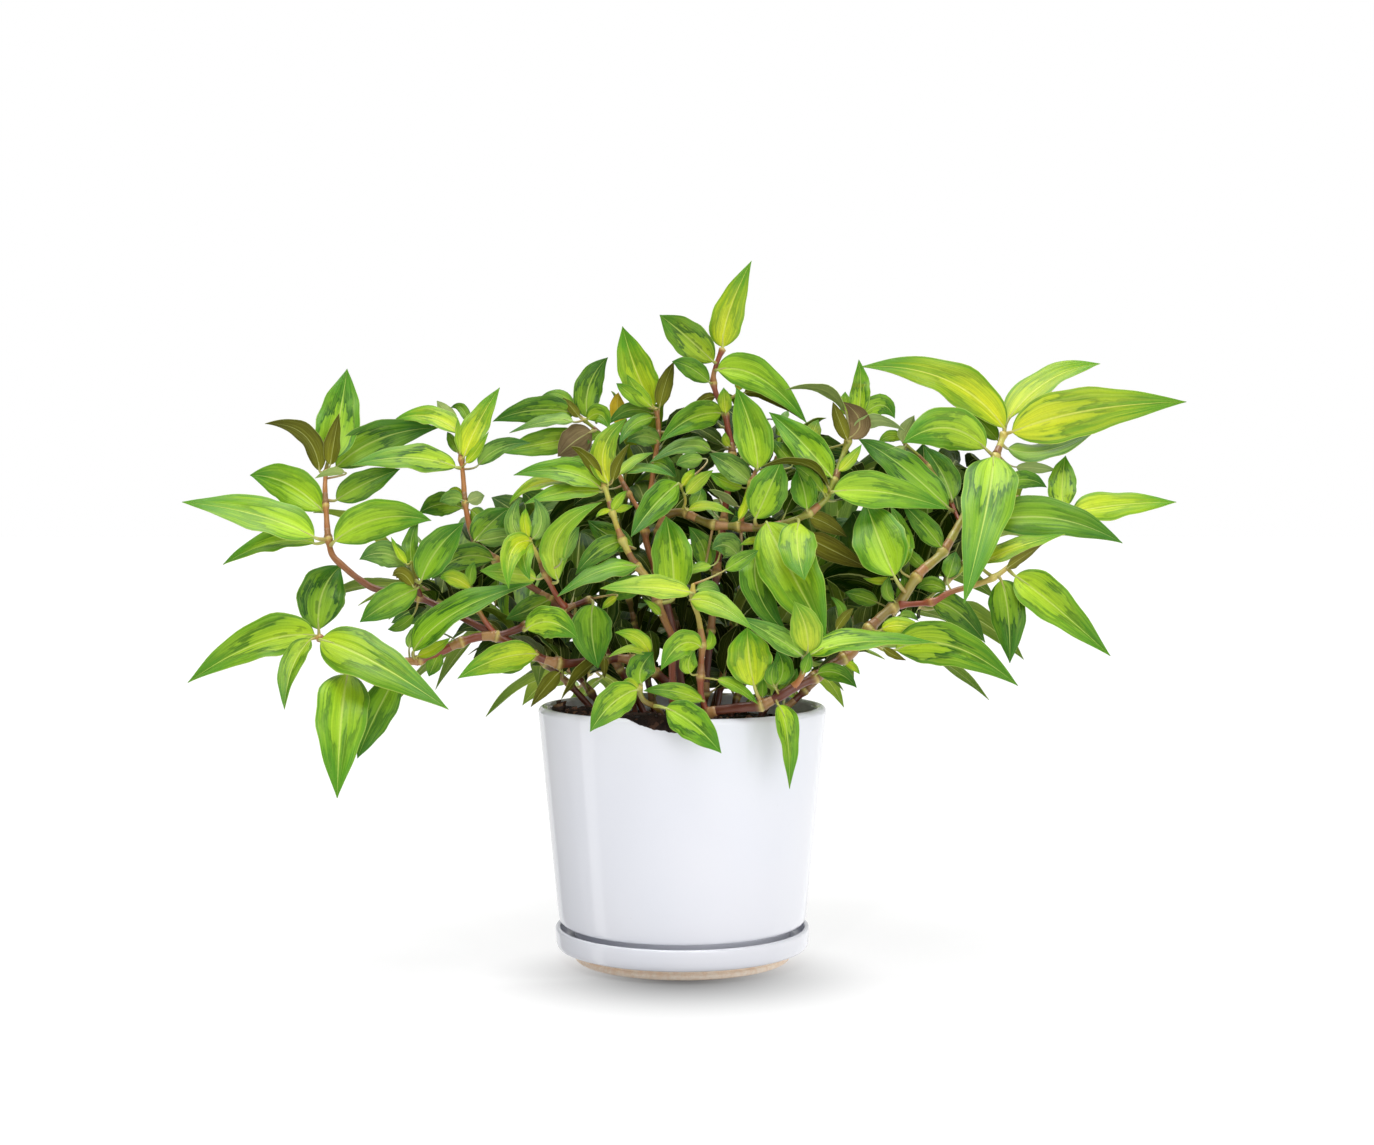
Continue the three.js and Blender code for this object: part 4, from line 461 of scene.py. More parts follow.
class Route:
    """A centripetal Catmull-Rom curve, the same as the CAD stems follow"""

    def __init__(self, points):
        self.points = np.array(points, float)
        first = 2 * self.points[0] - self.points[1]
        last = 2 * self.points[-1] - self.points[-2]
        self.padded = np.vstack([first, self.points, last])

    def at(self, t):
        s = np.atleast_1d(t) * (len(self.points) - 1)
        i = np.clip(np.floor(s).astype(int), 0, len(self.points) - 2)
        w = (s - i)[:, None]
        p0, p1, p2, p3 = (self.padded[i + k] for k in range(4))
        steps = (p1 - p0, p2 - p1, p3 - p2)
        d0, d1, d2 = (np.sqrt(np.linalg.norm(step, axis=1))[:, None] for step in steps)
        t1 = ((p1 - p0) / d0 - (p2 - p0) / (d0 + d1) + (p2 - p1) / d1) * d1
        t2 = ((p2 - p1) / d1 - (p3 - p1) / (d1 + d2) + (p3 - p2) / d2) * d1
        c2 = -3 * p1 + 3 * p2 - 2 * t1 - t2
        c3 = 2 * p1 - 2 * p2 + t1 + t2
        return p1 + t1 * w + c2 * w ** 2 + c3 * w ** 3

    def tangent(self, t):
        low, high = max(t - 1e-4, 0), min(t + 1e-4, 1)
        return unit(self.at(high)[0] - self.at(low)[0])

    def even(self, step):
        """Points about one step apart along the curve"""
        dense = self.at(np.linspace(0, 1, ROUTE_SAMPLES))
        lengths = run_lengths(dense)
        count = max(4, int(lengths[-1] / step))
        wanted = np.linspace(0, lengths[-1], count + 1)
        return np.stack([np.interp(wanted, lengths, dense[:, k]) for k in range(3)], 1), wanted


def nearest_root(point, routes):
    """The place on a shoot's stems that is nearest to a leaf's base"""
    best, best_distance = None, 1e9
    for route in routes:
        for a, b in zip(route.points[:-1], route.points[1:]):
            line = b - a
            share = np.clip(np.dot(point - a, line) / np.dot(line, line), 0, 1)
            found = a + share * line
            distance = np.linalg.norm(found - point)
            if distance < best_distance - 1e-9:
                best, best_distance = found, distance
    return best


def picked_leaf(row, routes):
    """A blade placed as it is seen, turned about its midrib until it looks as wide as it was seen"""
    bx, bz, mx, mz, tx, tz, base_depth, tip_depth, width, look = row
    base = leaning(bx, bz, base_depth)
    middle = leaning(mx, mz, (base_depth + tip_depth) / 2)
    tip = leaning(tx, tz, tip_depth)
    real = width * ((middle[1] - EYE[1]) / -EYE[1])
    natural = max(real, min(WIDEST_TURNED, NATURAL_RATIO * np.linalg.norm(tip - base)))
    turn = math.acos(real / natural)
    front = -1 if LOOKS[look][5] else 1

    def facing(centre, along):
        to_eye = EYE - centre
        to_eye = unit(to_eye - along * np.sum(to_eye * along, -1, keepdims=True))
        across = unit(np.cross(along, to_eye))
        across = np.where(across[:, 2:3] < 0, -across, across)
        return to_eye * front * math.cos(turn) + across * math.sin(turn)

    return {"base": base, "middle": middle, "tip": tip, "facing": facing, "look": look,
            "width": natural, "root": nearest_root(base, routes)}


def arched_leaf(root, direction, reach, stalk, rise, droop, up, width, look, **more):
    """A blade that leaves its stem in a direction, rises a little and droops at its tip, its face turned up"""
    base = root + direction * stalk
    middle = base + direction * reach / 2 + np.array([0, 0, reach * rise])
    tip = base + direction * reach - np.array([0, 0, reach * droop])

    def facing(centre, line):
        return unit(up - line * np.sum(up * line, -1, keepdims=True))

    return {"base": base, "middle": middle, "tip": tip, "facing": facing, "width": width, "root": root,
            "look": look, **more}


def grown_leaf(number, shoot, route, length):
    """A blade set by rule on a far shoot"""
    share = number / (BACK_LEAVES - 1)
    place = BARE_SHARE + (1 - BARE_SHARE) * share
    tangent = route.tangent(place)
    across, over = cross_directions(tangent)
    wind = number * GOLDEN_ANGLE + shoot * SHOOT_ANGLE
    spread = SPREAD_AT_FOOT + (SPREAD_AT_TIP - SPREAD_AT_FOOT) * share ** 2
    outward = math.sin(spread)
    direction = tangent * math.cos(spread)
    direction = direction + across * outward * math.cos(wind) + over * outward * math.sin(wind)
    direction[1] = max(direction[1], -MOST_FORWARD)
    reach = length * (0.85 + 0.3 * math.sin(number * 1.9 + shoot))
    up = np.array([0.5 * math.sin(wind), 0.35, 1.0])
    return arched_leaf(route.at(place)[0], unit(direction), reach, BACK_STALK, BACK_RISE, BACK_DROOP, up,
                       NATURAL_RATIO * reach, "fresh" if share > 0.7 else "deep")


def link(name, data):
    """A new object in the scene"""
    made = bpy.data.objects.new(name, data)
    bpy.context.scene.collection.objects.link(made)
    return made


class Builder:
    """Gathers vertices, faces and per-vertex values of one mesh"""

    def __init__(self):
        self.vertices, self.faces, self.kinds, self.maps, self.values = [], [], [], [], {}
        self.count = 0

    def add(self, vertices, faces, kinds=(0, 0), mapping=(0.0, 0.0), **values):
        vertices = np.asarray(vertices, float)
        for block, number in zip(faces, kinds):
            self.faces.append(np.asarray(block) + self.count)
            self.kinds.append(np.full(len(block), number))
        self.vertices.append(vertices)
        self.maps.append(np.broadcast_to(mapping, (len(vertices), 2)))
        for name, value in values.items():
            self.values.setdefault(name, []).append(np.broadcast_to(value, (len(vertices), 4)))
        self.count += len(vertices)

    def make(self, name, materials, borders=None):
        """One object of it all; edges along a border, marked 1 above and 2 below, are sharp"""
        mesh = bpy.data.meshes.new(name)
        vertices = np.concatenate(self.vertices) * MM
        totals = np.concatenate([np.full(len(block), block.shape[1]) for block in self.faces])
        loops = np.concatenate([block.reshape(-1) for block in self.faces])
        mesh.vertices.add(len(vertices))
        mesh.vertices.foreach_set("co", vertices.reshape(-1).astype(np.float32))
        mesh.loops.add(len(loops))
        mesh.loops.foreach_set("vertex_index", loops.astype(np.int32))
        mesh.polygons.add(len(totals))
        starts = np.concatenate([[0], np.cumsum(totals)[:-1]])
        mesh.polygons.foreach_set("loop_start", starts.astype(np.int32))
        mesh.polygons.foreach_set("loop_total", totals.astype(np.int32))
        mesh.polygons.foreach_set("material_index", np.concatenate(self.kinds).astype(np.int32))
        mesh.polygons.foreach_set("use_smooth", np.ones(len(totals), bool))
        mesh.update(calc_edges=True)
        layer = mesh.uv_layers.new(name="Plan")
        layer.data.foreach_set("uv", np.concatenate(self.maps)[loops].reshape(-1).astype(np.float32))
        for key, value in self.values.items():
            attribute = mesh.attributes.new(key, "FLOAT_COLOR", "POINT")
            attribute.data.foreach_set("color", np.concatenate(value).reshape(-1).astype(np.float32))
        if borders is not None:
            ends = np.empty(len(mesh.edges) * 2, np.int32)
            mesh.edges.foreach_get("vertices", ends)
            side = np.concatenate(borders)[ends.reshape(-1, 2)]
            sharp = (side[:, 0] > 0) & (side[:, 0] == side[:, 1])
            mesh.attributes.new("sharp_edge", "BOOLEAN", "EDGE").data.foreach_set("value", sharp)
        mesh.validate()
        for material in materials:
            mesh.materials.append(material)
        return link(name, mesh)


# Blade outlines are tables over FINE. Blades are oval up to a slimness, and long from another.
FINE = np.linspace(0, 1, 301)
SOFTENING = 9
OVAL_SLIMNESS, LONG_SLIMNESS = 1.8, 3.4
THINNEST_SHARE = 0.012


def soft_curve(places, shares):
    """A smooth curve close to the given shares"""
    rough = np.pad(np.interp(FINE, places, shares), SOFTENING, mode="reflect", reflect_type="odd")
    window = np.hanning(2 * SOFTENING + 1)
    return np.maximum(np.convolve(rough, window / window.sum(), mode="valid"), 0.0)


# Share of the full width from base to tip: an oval blade, and a broad-based one drawn out to a fine tip
OVAL = soft_curve([0, 0.03, 0.08, 0.15, 0.25, 0.35, 0.43, 0.52, 0.62, 0.72, 0.81, 0.89, 0.95, 1],
                  [0.03, 0.27, 0.50, 0.72, 0.91, 0.99, 1, 0.985, 0.92, 0.78, 0.58, 0.34, 0.15, 0])
LONG = soft_curve([0, 0.03, 0.08, 0.15, 0.22, 0.29, 0.37, 0.47, 0.57, 0.67, 0.77, 0.86, 0.93, 1],
                  [0.04, 0.33, 0.60, 0.83, 0.95, 1, 0.99, 0.93, 0.82, 0.67, 0.49, 0.31, 0.16, 0])


def slimness(leaf):
    """A leaf's length in widths"""
    return np.linalg.norm(leaf["tip"] - leaf["base"]) / leaf["width"]


def blade_share(t, slim):
    """Share of the full width at shares of the length: slim leaves take the long outline"""
    long = smoothstep(slim, OVAL_SLIMNESS, LONG_SLIMNESS)
    share = np.interp(t, FINE, OVAL) * (1 - long) + np.interp(t, FINE, LONG) * long
    return np.maximum(share, THINNEST_SHARE)


def midrib_bend(leaf):
    """The control point of the curve from a leaf's base through its middle to its tip"""
    return 2 * leaf["middle"] - (leaf["base"] + leaf["tip"]) / 2


def spine(leaf, s):
    """Places on a leaf's midrib and the directions there"""
    base, control, tip = leaf["base"], midrib_bend(leaf), leaf["tip"]
    centre = (1 - s) ** 2 * base + 2 * s * (1 - s) * control + s ** 2 * tip
    return centre, unit(2 * (1 - s) * (control - base) + 2 * s * (tip - control))


def blade_lines(leaf, s, reach):
    """Places on a leaf's midrib and on either side of it, where the blade at its widest would reach so far"""
    centre, along = spine(leaf, s)
    side = unit(np.cross(along, unit(leaf["facing"](centre, along))))
    half = reach * blade_share(s, slimness(leaf))
    return centre, centre + side * half, centre - side * half


def grid_faces(rows, columns):
    """Top quads, under quads and rim quads of a two-sided grid, with the border's side marks"""
    index = np.arange((rows + 1) * (columns + 1)).reshape(rows + 1, columns + 1)
    a, b, c, d = index[:-1, :-1], index[:-1, 1:], index[1:, 1:], index[1:, :-1]
    top = np.stack([a, b, c, d], -1).reshape(-1, 4)
    count = index.size
    under = top[:, ::-1] + count
    loop = np.concatenate([index[0, :-1], index[:-1, -1], index[-1, :0:-1], index[:0:-1, 0]])
    ahead = np.roll(loop, -1)
    rim = np.stack([ahead, loop, loop + count, ahead + count], -1)
    border = np.zeros(2 * count, int)
    border[loop] = 1
    border[loop + count] = 2
    return top, under, rim, border


# Rows and columns of a blade: of a fill leaf, of a wide leaf and of any other
FILL_GRID, WIDE_GRID, SMALL_GRID = (10, 4), (24, 8), (14, 6)
WIDE_LEAF = 12
GRIDS = {}


def add_blade(builder, borders, leaf):
    """One leaf blade with a folded, gently waved and slightly thick surface"""
    width = leaf["width"]
    size = FILL_GRID if leaf.get("fill") else WIDE_GRID if width > WIDE_LEAF else SMALL_GRID
    if size not in GRIDS:
        GRIDS[size] = grid_faces(*size)
    top, under, rim, border = GRIDS[size]
    t = np.linspace(0, 1, size[0] + 1)
    t = 0.6 * t + 0.4 * (1 - np.cos(math.pi * t)) / 2
    centre, along = spine(leaf, t[:, None])
    normal = unit(leaf["facing"](centre, along))
    side = unit(np.cross(along, normal))
    half = width / 2 * blade_share(t, slimness(leaf))
    v = np.linspace(-1, 1, size[1] + 1)
    v = 0.55 * np.sin(v * math.pi / 2) + 0.45 * v
    phase = rng.uniform(0, TURN)
    beat = TURN * rng.uniform(1.6, 2.8)
    fold = BLADE_FOLD * rng.uniform(0.6, 1.3)
    curl = BLADE_CURL * rng.uniform(0.7, 1.3)
    sway = np.stack([np.sin(beat * t + phase), np.sin(beat * t + phase + 2.1)], 1)
    wave = np.where(v[None, :] < 0, sway[:, :1], sway[:, 1:]) * v[None, :] ** 2 * BLADE_WAVE
    nick = 1 + BLADE_NICK * np.sin(t * 23 + phase) * np.sin(t * math.pi)
    lift = half[:, None] * (fold * np.abs(v)[None, :] - curl * v[None, :] ** 2 + wave)
    across = (half * nick)[:, None] * v[None, :]
    points = centre[:, None, :] + side[:, None, :] * across[..., None] + normal[:, None, :] * lift[..., None]
    flat = points.reshape(-1, 3)
    down = np.repeat(normal, len(v), axis=0) * BLADE_THICKNESS
    plan = np.stack(np.broadcast_arrays(t[:, None], 0.5 + 0.5 * v[None, :]), -1).reshape(-1, 2)
    # The colours and marks of the whole leaf. A fill leaf's shade is painted shade: its colours are darkened to
    # stand in for the shade inside the foliage.
    look = LOOKS[leaf["look"]]
    shade = rng.uniform(0.9, 1.1) * leaf.get("shade", 1.0)
    warm = np.array([rng.uniform(0.94, 1.08), 1.0, rng.uniform(0.85, 1.1)])
    colour = [np.append(np.clip(linear(text) * LEAF_DEPTH * shade * warm, 0, 1), 1) for text in look[:4]]
    chevron = look[4] * rng.uniform(0.3, 1.1) * smoothstep(width, 4, 12)
    apex = rng.uniform(-0.06, 0.06) + CHEVRON_APEX - 0.22 * smoothstep(slimness(leaf), 1.8, 4.2)
    marks = np.array([chevron, rng.random(), apex, rng.random()])
    builder.add(np.concatenate([flat, flat - down]), [top, under, rim], [0, 1, 1], np.concatenate([plan, plan]),
                inner=colour[0], outer=colour[1], under_inner=colour[2], under_outer=colour[3], marks=marks)
    borders.append(border)


def frames_along(points):
    """Directions and two cross directions along a line of points, without twist"""
    along = unit(np.gradient(points, axis=0))
    start = np.array([0, 0, 1.0]) if abs(along[0][2]) < 0.9 else np.array([1.0, 0, 0])
    first = unit(start - along[0] * np.dot(start, along[0]))
    rights = [first]
    for a in along[1:]:
        right = rights[-1] - a * np.dot(rights[-1], a)
        rights.append(unit(right))
    rights = np.array(rights)
    return along, rights, np.cross(along, rights)


def ring_faces(rings, sides, closed=False):
    """Quads between rings of points, and fans that close both ends over one more point each.
    Rings that close on themselves have no ends."""
    index = np.arange(rings * sides).reshape(rings, sides)
    if closed:
        index = np.vstack([index, index[:1]])
    beside = np.roll(index, -1, axis=1)
    quads = np.stack([index[:-1], beside[:-1], beside[1:], index[1:]], -1).reshape(-1, 4)
    if closed:
        return [quads]
    low = np.full(sides, rings * sides)
    fans = [np.stack([beside[0], index[0], low], -1), np.stack([index[-1], beside[-1], low + 1], -1)]
    return [quads, np.concatenate(fans)]


def add_tube(builder, points, radii, tints, sides, lengths=None, oval=0.0):
    """A closed tube along points, with radii and tints given point by point"""
    along, right, up = frames_along(points)
    angles = around(sides)
    radii = np.broadcast_to(radii, len(points))
    ring = right[:, None, :] * np.cos(angles)[None, :, None] + up[:, None, :] * np.sin(angles)[None, :, None]
    wobble = 1 + oval * np.cos(2 * angles)[None, :]
    body = points[:, None, :] + ring * (radii[:, None] * wobble)[..., None]
    vertices = np.concatenate([body.reshape(-1, 3), points[:1] - along[:1] * radii[0] * 0.5,
                               points[-1:] + along[-1:] * radii[-1] * 0.7])
    if lengths is None:
        lengths = run_lengths(points)
    plan = np.stack(np.broadcast_arrays(lengths[:, None] / 10, angles[None, :] / (2 * math.pi)), -1)
    plan = plan.reshape(-1, 2)
    tints = np.broadcast_to(tints, (len(points), 3))
    tint = np.concatenate([np.repeat(tints, sides, axis=0), tints[:1], tints[-1:]])
    tint = np.concatenate([tint, np.ones((len(tint), 1))], 1)
    builder.add(vertices, ring_faces(len(points), sides),
                mapping=np.concatenate([plan, plan[:1], plan[-1:]]), tint=tint)


def add_stem(builder, route, radius, tones, roots):
    """A jointed stem: it swells and pales at its nodes, thins towards its end and wears papery sheaths"""
    points, lengths = route.even(STEM_STEP)
    start, end = (linear(TONES[tone]) for tone in tones)
    share = lengths / lengths[-1]
    near = np.zeros(len(points))
    places = []
    for root in roots:
        distances = np.linalg.norm(points - root, axis=1)
        at = int(np.argmin(distances))
        if distances[at] > radius + 1.2 or any(abs(lengths[at] - p) < NODES_APART for p in places):
            continue
        places.append(lengths[at])
        near = np.maximum(near, np.exp(-((lengths - lengths[at]) / NODE_LENGTH) ** 2))
    taper = 1.04 - 0.3 * smoothstep(share, 0.55, 1.0)
    jitter = 1 + 0.05 * np.sin(lengths * 0.33 + radius * 9) + 0.03 * np.sin(lengths * 0.9)
    radii = radius * taper * jitter * (0.78 + 0.44 * near)
    mix = smoothstep(share, 0.25, 0.95)[:, None]
    tints = start * (1 - mix) + end * mix
    pale = 0.8 * (near[:, None] ** 3) * smoothstep(lengths, 6, 24)[:, None]
    tints = tints * (1 - pale) + linear(NODE_TONE) * pale
    add_tube(builder, points, radii, tints, STEM_SIDES, lengths, 0.05)
    for place in places:
        if place < LOWEST_SHEATH:
            continue
        inside = (lengths > place + 0.5) & (lengths < place + rng.uniform(5.5, 8.5))
        if inside.sum() < 4:
            continue
        flare = 1.05 + 0.07 * np.linspace(1, 0, inside.sum()) ** 2
        tint = linear(SHEATH_TONE) * rng.uniform(0.7, 1.2)
        add_tube(builder, points[inside], radii[inside] * flare + 0.08, tint, STEM_SIDES)


def add_petiole(builder, leaf, tone):
    """A leaf stalk from the stem into the blade, where it runs out along the midrib's underside"""
    root, base = leaf["root"], leaf["base"]
    gap = np.linalg.norm(base - root)
    onward = unit(midrib_bend(leaf) - base)
    reach = min(0.16 * np.linalg.norm(leaf["tip"] - base), PETIOLE_REACH)
    handle = base - onward * gap * 0.35
    count = 5 if leaf.get("fill") else 9
    s = np.linspace(0, 1, count)[:, None]
    stalk = (1 - s) ** 2 * root + 2 * s * (1 - s) * handle + s ** 2 * base
    points = np.concatenate([stalk, base + onward * reach * np.array([[0.35], [0.7], [1.0]])])
    normal = leaf["facing"](points, np.broadcast_to(onward, points.shape))
    thick = PETIOLE_RADIUS * float(np.clip(leaf["width"] / 16, 0.55, 1.1))
    radii = thick * np.concatenate([np.linspace(1.35, 0.9, count), [0.72, 0.45, 0.2]])
    points = points - normal * (radii[:, None] * 0.35)
    pale = linear(LOOKS[leaf["look"]][0]) * 0.5 + linear(STALK_END_TONE) * 0.5
    mix = np.linspace(0, 1, len(points))[:, None] ** 0.6
    add_tube(builder, points, radii, linear(tone) * (1 - mix) + pale * mix, 5 if leaf.get("fill") else 6)


# Materials
class Graph:
    """Short hand for building a material's nodes"""

    def __init__(self, name):
        self.material = bpy.data.materials.new(name)
        self.material.use_nodes = True
        self.tree = self.material.node_tree
        self.tree.nodes.clear()
        output = self.tree.nodes.new("ShaderNodeOutputMaterial")
        self.shader = self.tree.nodes.new("ShaderNodeBsdfPrincipled")
        self.tree.links.new(self.shader.outputs[0], output.inputs[0])

    def put(self, socket, value):
        if isinstance(value, bpy.types.NodeSocket):
            self.tree.links.new(value, socket)
        elif value is not None:
            socket.default_value = value

    def node(self, kind, inputs=None, **settings):
        made = self.tree.nodes.new(kind)
        for key, value in settings.items():
            setattr(made, key, value)
        for key, value in (inputs or {}).items():
            self.put(made.inputs[key], value)
        return made

    def calc(self, operation, a, b=None, c=None):
        made = self.node("ShaderNodeMath", operation=operation)
        for socket, value in zip(made.inputs, (a, b, c)):
            self.put(socket, value)
        return made.outputs[0]

    def plus(self, first, *others):
        for other in others:
            first = self.calc("ADD", first, other)
        return first

    def times(self, first, *others):
        for other in others:
            first = self.calc("MULTIPLY", first, other)
        return first

    def scaled(self, value, factor, offset):
        return self.calc("MULTIPLY_ADD", value, factor, offset)

    def distance(self, a, b):
        return self.calc("SQRT", self.plus(self.times(a, a), self.times(b, b)))

    def split(self, vector):
        return self.node("ShaderNodeSeparateXYZ", {"Vector": vector}).outputs

    def join(self, x, y, z):
        return self.node("ShaderNodeCombineXYZ", {"X": x, "Y": y, "Z": z}).outputs[0]

    def ramp(self, value, low, high, start=0.0, end=1.0):
        """Smooth step of a value from start at low to end at high"""
        inputs = {"Value": value, "From Min": low, "From Max": high, "To Min": start, "To Max": end}
        return self.node("ShaderNodeMapRange", inputs, interpolation_type="SMOOTHSTEP").outputs[0]

    def mix(self, factor, a, b, blend="MIX"):
        made = self.node("ShaderNodeMix", data_type="RGBA", blend_type=blend)
        self.put(made.inputs[0], factor)
        self.put(made.inputs[6], a)
        self.put(made.inputs[7], b)
        return made.outputs[2]

    def noise(self, vector, scale, detail=3.0, roughness=0.5):
        return self.node("ShaderNodeTexNoise", {"Vector": vector, "Scale": scale, "Detail": detail,
                                                "Roughness": roughness}).outputs[0]

    def place(self):
        return self.node("ShaderNodeTexCoord").outputs["Object"]

    def plan(self):
        """Lengthwise and sideways place on a leaf or stem"""
        return self.split(self.node("ShaderNodeUVMap", uv_map="Plan").outputs[0])

    def colour(self, name):
        return self.node("ShaderNodeAttribute", attribute_name=name).outputs["Color"]

    def bump(self, height, strength, distance):
        made = self.node("ShaderNodeBump", {"Height": height, "Strength": strength, "Distance": distance})
        self.put(self.shader.inputs["Normal"], made.outputs[0])

    def finish(self, **inputs):
        for key, value in inputs.items():
            self.put(self.shader.inputs[key.replace("_", " ")], value)
        return self.material


def rgb(text):
    return (*linear(text), 1.0)


# The looks hold the colours as the photograph shows them in strong light. The leaves' own blue is far lower.
LEAF_DEPTH = np.array([1.08, 1.03, 0.26])


def leaf_material(name, inner_name, outer_name, under):
    """Lengthwise veins, a pale midrib, darker margins, and a dark chevron round the light middle"""
    g = Graph(name)
    plan = g.plan()
    u = plan[0]
    side = g.scaled(plan[1], 2.0, -1.0)
    v = g.calc("ABSOLUTE", side)
    marks = g.node("ShaderNodeSeparateColor", {"Color": g.colour("marks")})
    chevron, chance, apex = marks.outputs[0], marks.outputs[1], marks.outputs[2]

    def drawn(lengthwise, sideways, shift, detail):
        """Noise drawn out along the blade, different on every leaf"""
        spot = g.join(g.times(u, lengthwise), g.times(side, sideways), g.times(chance, shift))
        return g.noise(spot, 1.0, detail, 0.55)

    streaks = drawn(2.0, 5.5, 41.0, 2.0)
    lines = drawn(1.0, 24.0, 17.0, 2.0)
    patches = drawn(5.0, 2.6, 23.0, 3.0)
    grain = g.noise(g.place(), 900.0, 3.0)
    midrib = g.ramp(v, g.scaled(u, -0.05, 0.085), 0.015)
    inner, outer = g.colour(inner_name), g.colour(outer_name)
    dark = g.mix(1.0, outer, (0.30, 0.42, 0.32, 1.0), "MULTIPLY")
    # Distance from the leaf's base in shares of the light middle, ragged along the veins
    round_off = g.distance(g.calc("DIVIDE", u, apex), g.calc("DIVIDE", v, 0.80))
    ragged = g.plus(g.scaled(streaks, 0.9, -0.45), g.scaled(patches, 1.1, -0.55))
    past = g.plus(round_off, -1.0, ragged)
    strength = g.times(chevron, 0.35) if under else chevron
    beyond = g.times(g.ramp(past, -0.32, 0.24), g.ramp(chevron, 0.0, 0.8, 0.06, 0.26))
    mottle = g.ramp(streaks, 0.40, 0.62, -0.13, 0.13)
    margin = g.ramp(g.scaled(streaks, 0.40, v), 0.80, 1.14, 0.0, 0.92)
    darker = g.plus(g.ramp(round_off, 0.12, 1.2, 0.10, 0.50), mottle, beyond, g.ramp(u, 0.60, 1.0, 0.0, 0.50))
    colour = g.mix(g.calc("MAXIMUM", darker, margin), inner, outer)
    band = g.times(g.ramp(past, -0.04, 0.05), g.ramp(past, 0.30, 0.08), strength, g.ramp(v, 0.03, 0.12),
                   g.ramp(patches, 0.36, 0.48, 0.25, 1.0))
    blotch = g.times(g.ramp(patches, 0.57, 0.62), g.ramp(v, 0.85, 0.50), strength, 0.55)
    colour = g.mix(g.times(g.calc("MAXIMUM", band, blotch), 0.92), colour, dark)
    pale = g.mix(0.45, inner, rgb("#dbe38c"))
    colour = g.mix(g.ramp(lines, 0.54, 0.66, 0.0, 0.24), colour, dark)
    colour = g.mix(g.ramp(lines, 0.46, 0.36, 0.0, 0.16), colour, pale)
    colour = g.mix(g.times(midrib, 0.80), colour, pale)
    colour = g.mix(g.ramp(v, 0.955, 0.99, 0.0, 0.50), colour, pale)
    shade = g.scaled(grain, 0.20, 0.90)
    shade = g.node("ShaderNodeCombineColor", {key: shade for key in ("Red", "Green", "Blue")}).outputs[0]
    colour = g.mix(1.0, colour, shade, "MULTIPLY")
    # The midrib is sunk above and raised below. Leaves with a dark outer colour, as the fill leaves in painted
    # shade have, shine less.
    g.bump(g.plus(g.times(lines, 0.9), g.times(midrib, 0.9 if under else -0.9), g.times(grain, 0.35),
                  g.times(streaks, 0.8)), 0.45, 0.0005)
    depth = g.node("ShaderNodeSeparateColor", {"Color": outer}).outputs[1]
    shine = g.ramp(depth, 0.015, 0.10, 0.0, 0.12 if under else 0.28)
    return g.finish(Base_Color=colour, Roughness=g.scaled(grain, 0.2, 0.48 if under else 0.28),
                    Specular_IOR_Level=shine)


def stem_material():
    """The vertices' tint with reddish blotches, light fibres and dark specks"""
    g = Graph("stem_skin")
    plan = g.plan()
    place = g.place()
    fibres = g.noise(g.join(g.times(plan[0], 0.7), g.times(plan[1], 16.0), 0.0), 1.0, 4.0, 0.6)
    blotch = g.noise(place, 160.0, 4.0, 0.6)
    speck = g.noise(place, 1400.0, 2.0)
    tint = g.colour("tint")
    red = g.mix(1.0, tint, (0.88, 0.55, 0.50, 1.0), "MULTIPLY")
    colour = g.mix(g.ramp(blotch, 0.45, 0.68, 0.0, 0.55), tint, red)
    light = g.mix(0.5, tint, rgb("#d8c39a"))
    colour = g.mix(g.ramp(fibres, 0.58, 0.75, 0.0, 0.25), colour, light)
    colour = g.mix(g.ramp(speck, 0.62, 0.72, 0.0, 0.3), colour, rgb("#5a3020"))
    g.bump(g.plus(g.times(fibres, 0.8), g.times(blotch, 0.5)), 0.5, 0.0004)
    return g.finish(Base_Color=colour, Roughness=g.scaled(fibres, 0.25, 0.20), Specular_IOR_Level=0.6)


def glaze_material(name, foot_height):
    """Cool white glaze that pools a little unevenly; bare beige clay below the foot's height"""
    g = Graph(name)
    place = g.place()
    pool = g.noise(place, 14.0, 2.0, 0.4)
    fine = g.noise(place, 260.0, 4.0, 0.6)
    pits = g.node("ShaderNodeTexVoronoi", {"Vector": place, "Scale": 330.0}).outputs["Distance"]
    pinhole = g.times(g.ramp(pits, 0.10, 0.03), g.ramp(fine, 0.60, 0.68))
    white = g.mix(g.ramp(pool, 0.35, 0.65), rgb("#eceef6"), rgb("#eff0f7"))
    white = g.mix(g.times(pinhole, 0.35), white, rgb("#b9b2a6"))
    clay = g.mix(g.ramp(fine, 0.35, 0.65), rgb("#f8dfc6"), rgb("#fff0de"))
    clay = g.mix(g.ramp(g.noise(place, 2400.0, 2.0), 0.6, 0.7, 0.0, 0.25), clay, rgb("#c9ae96"))
    bare = g.ramp(g.split(place)[2], foot_height + 0.0004, foot_height - 0.0001)
    colour = g.mix(bare, white, clay)
    rough = g.scaled(bare, 0.62, g.scaled(fine, 0.05, 0.055))
    g.bump(g.plus(pool, g.times(pinhole, -0.05), g.times(fine, bare, 0.4)), 0.25, 0.0005)
    return g.finish(Base_Color=colour, Roughness=rough, IOR=1.52)


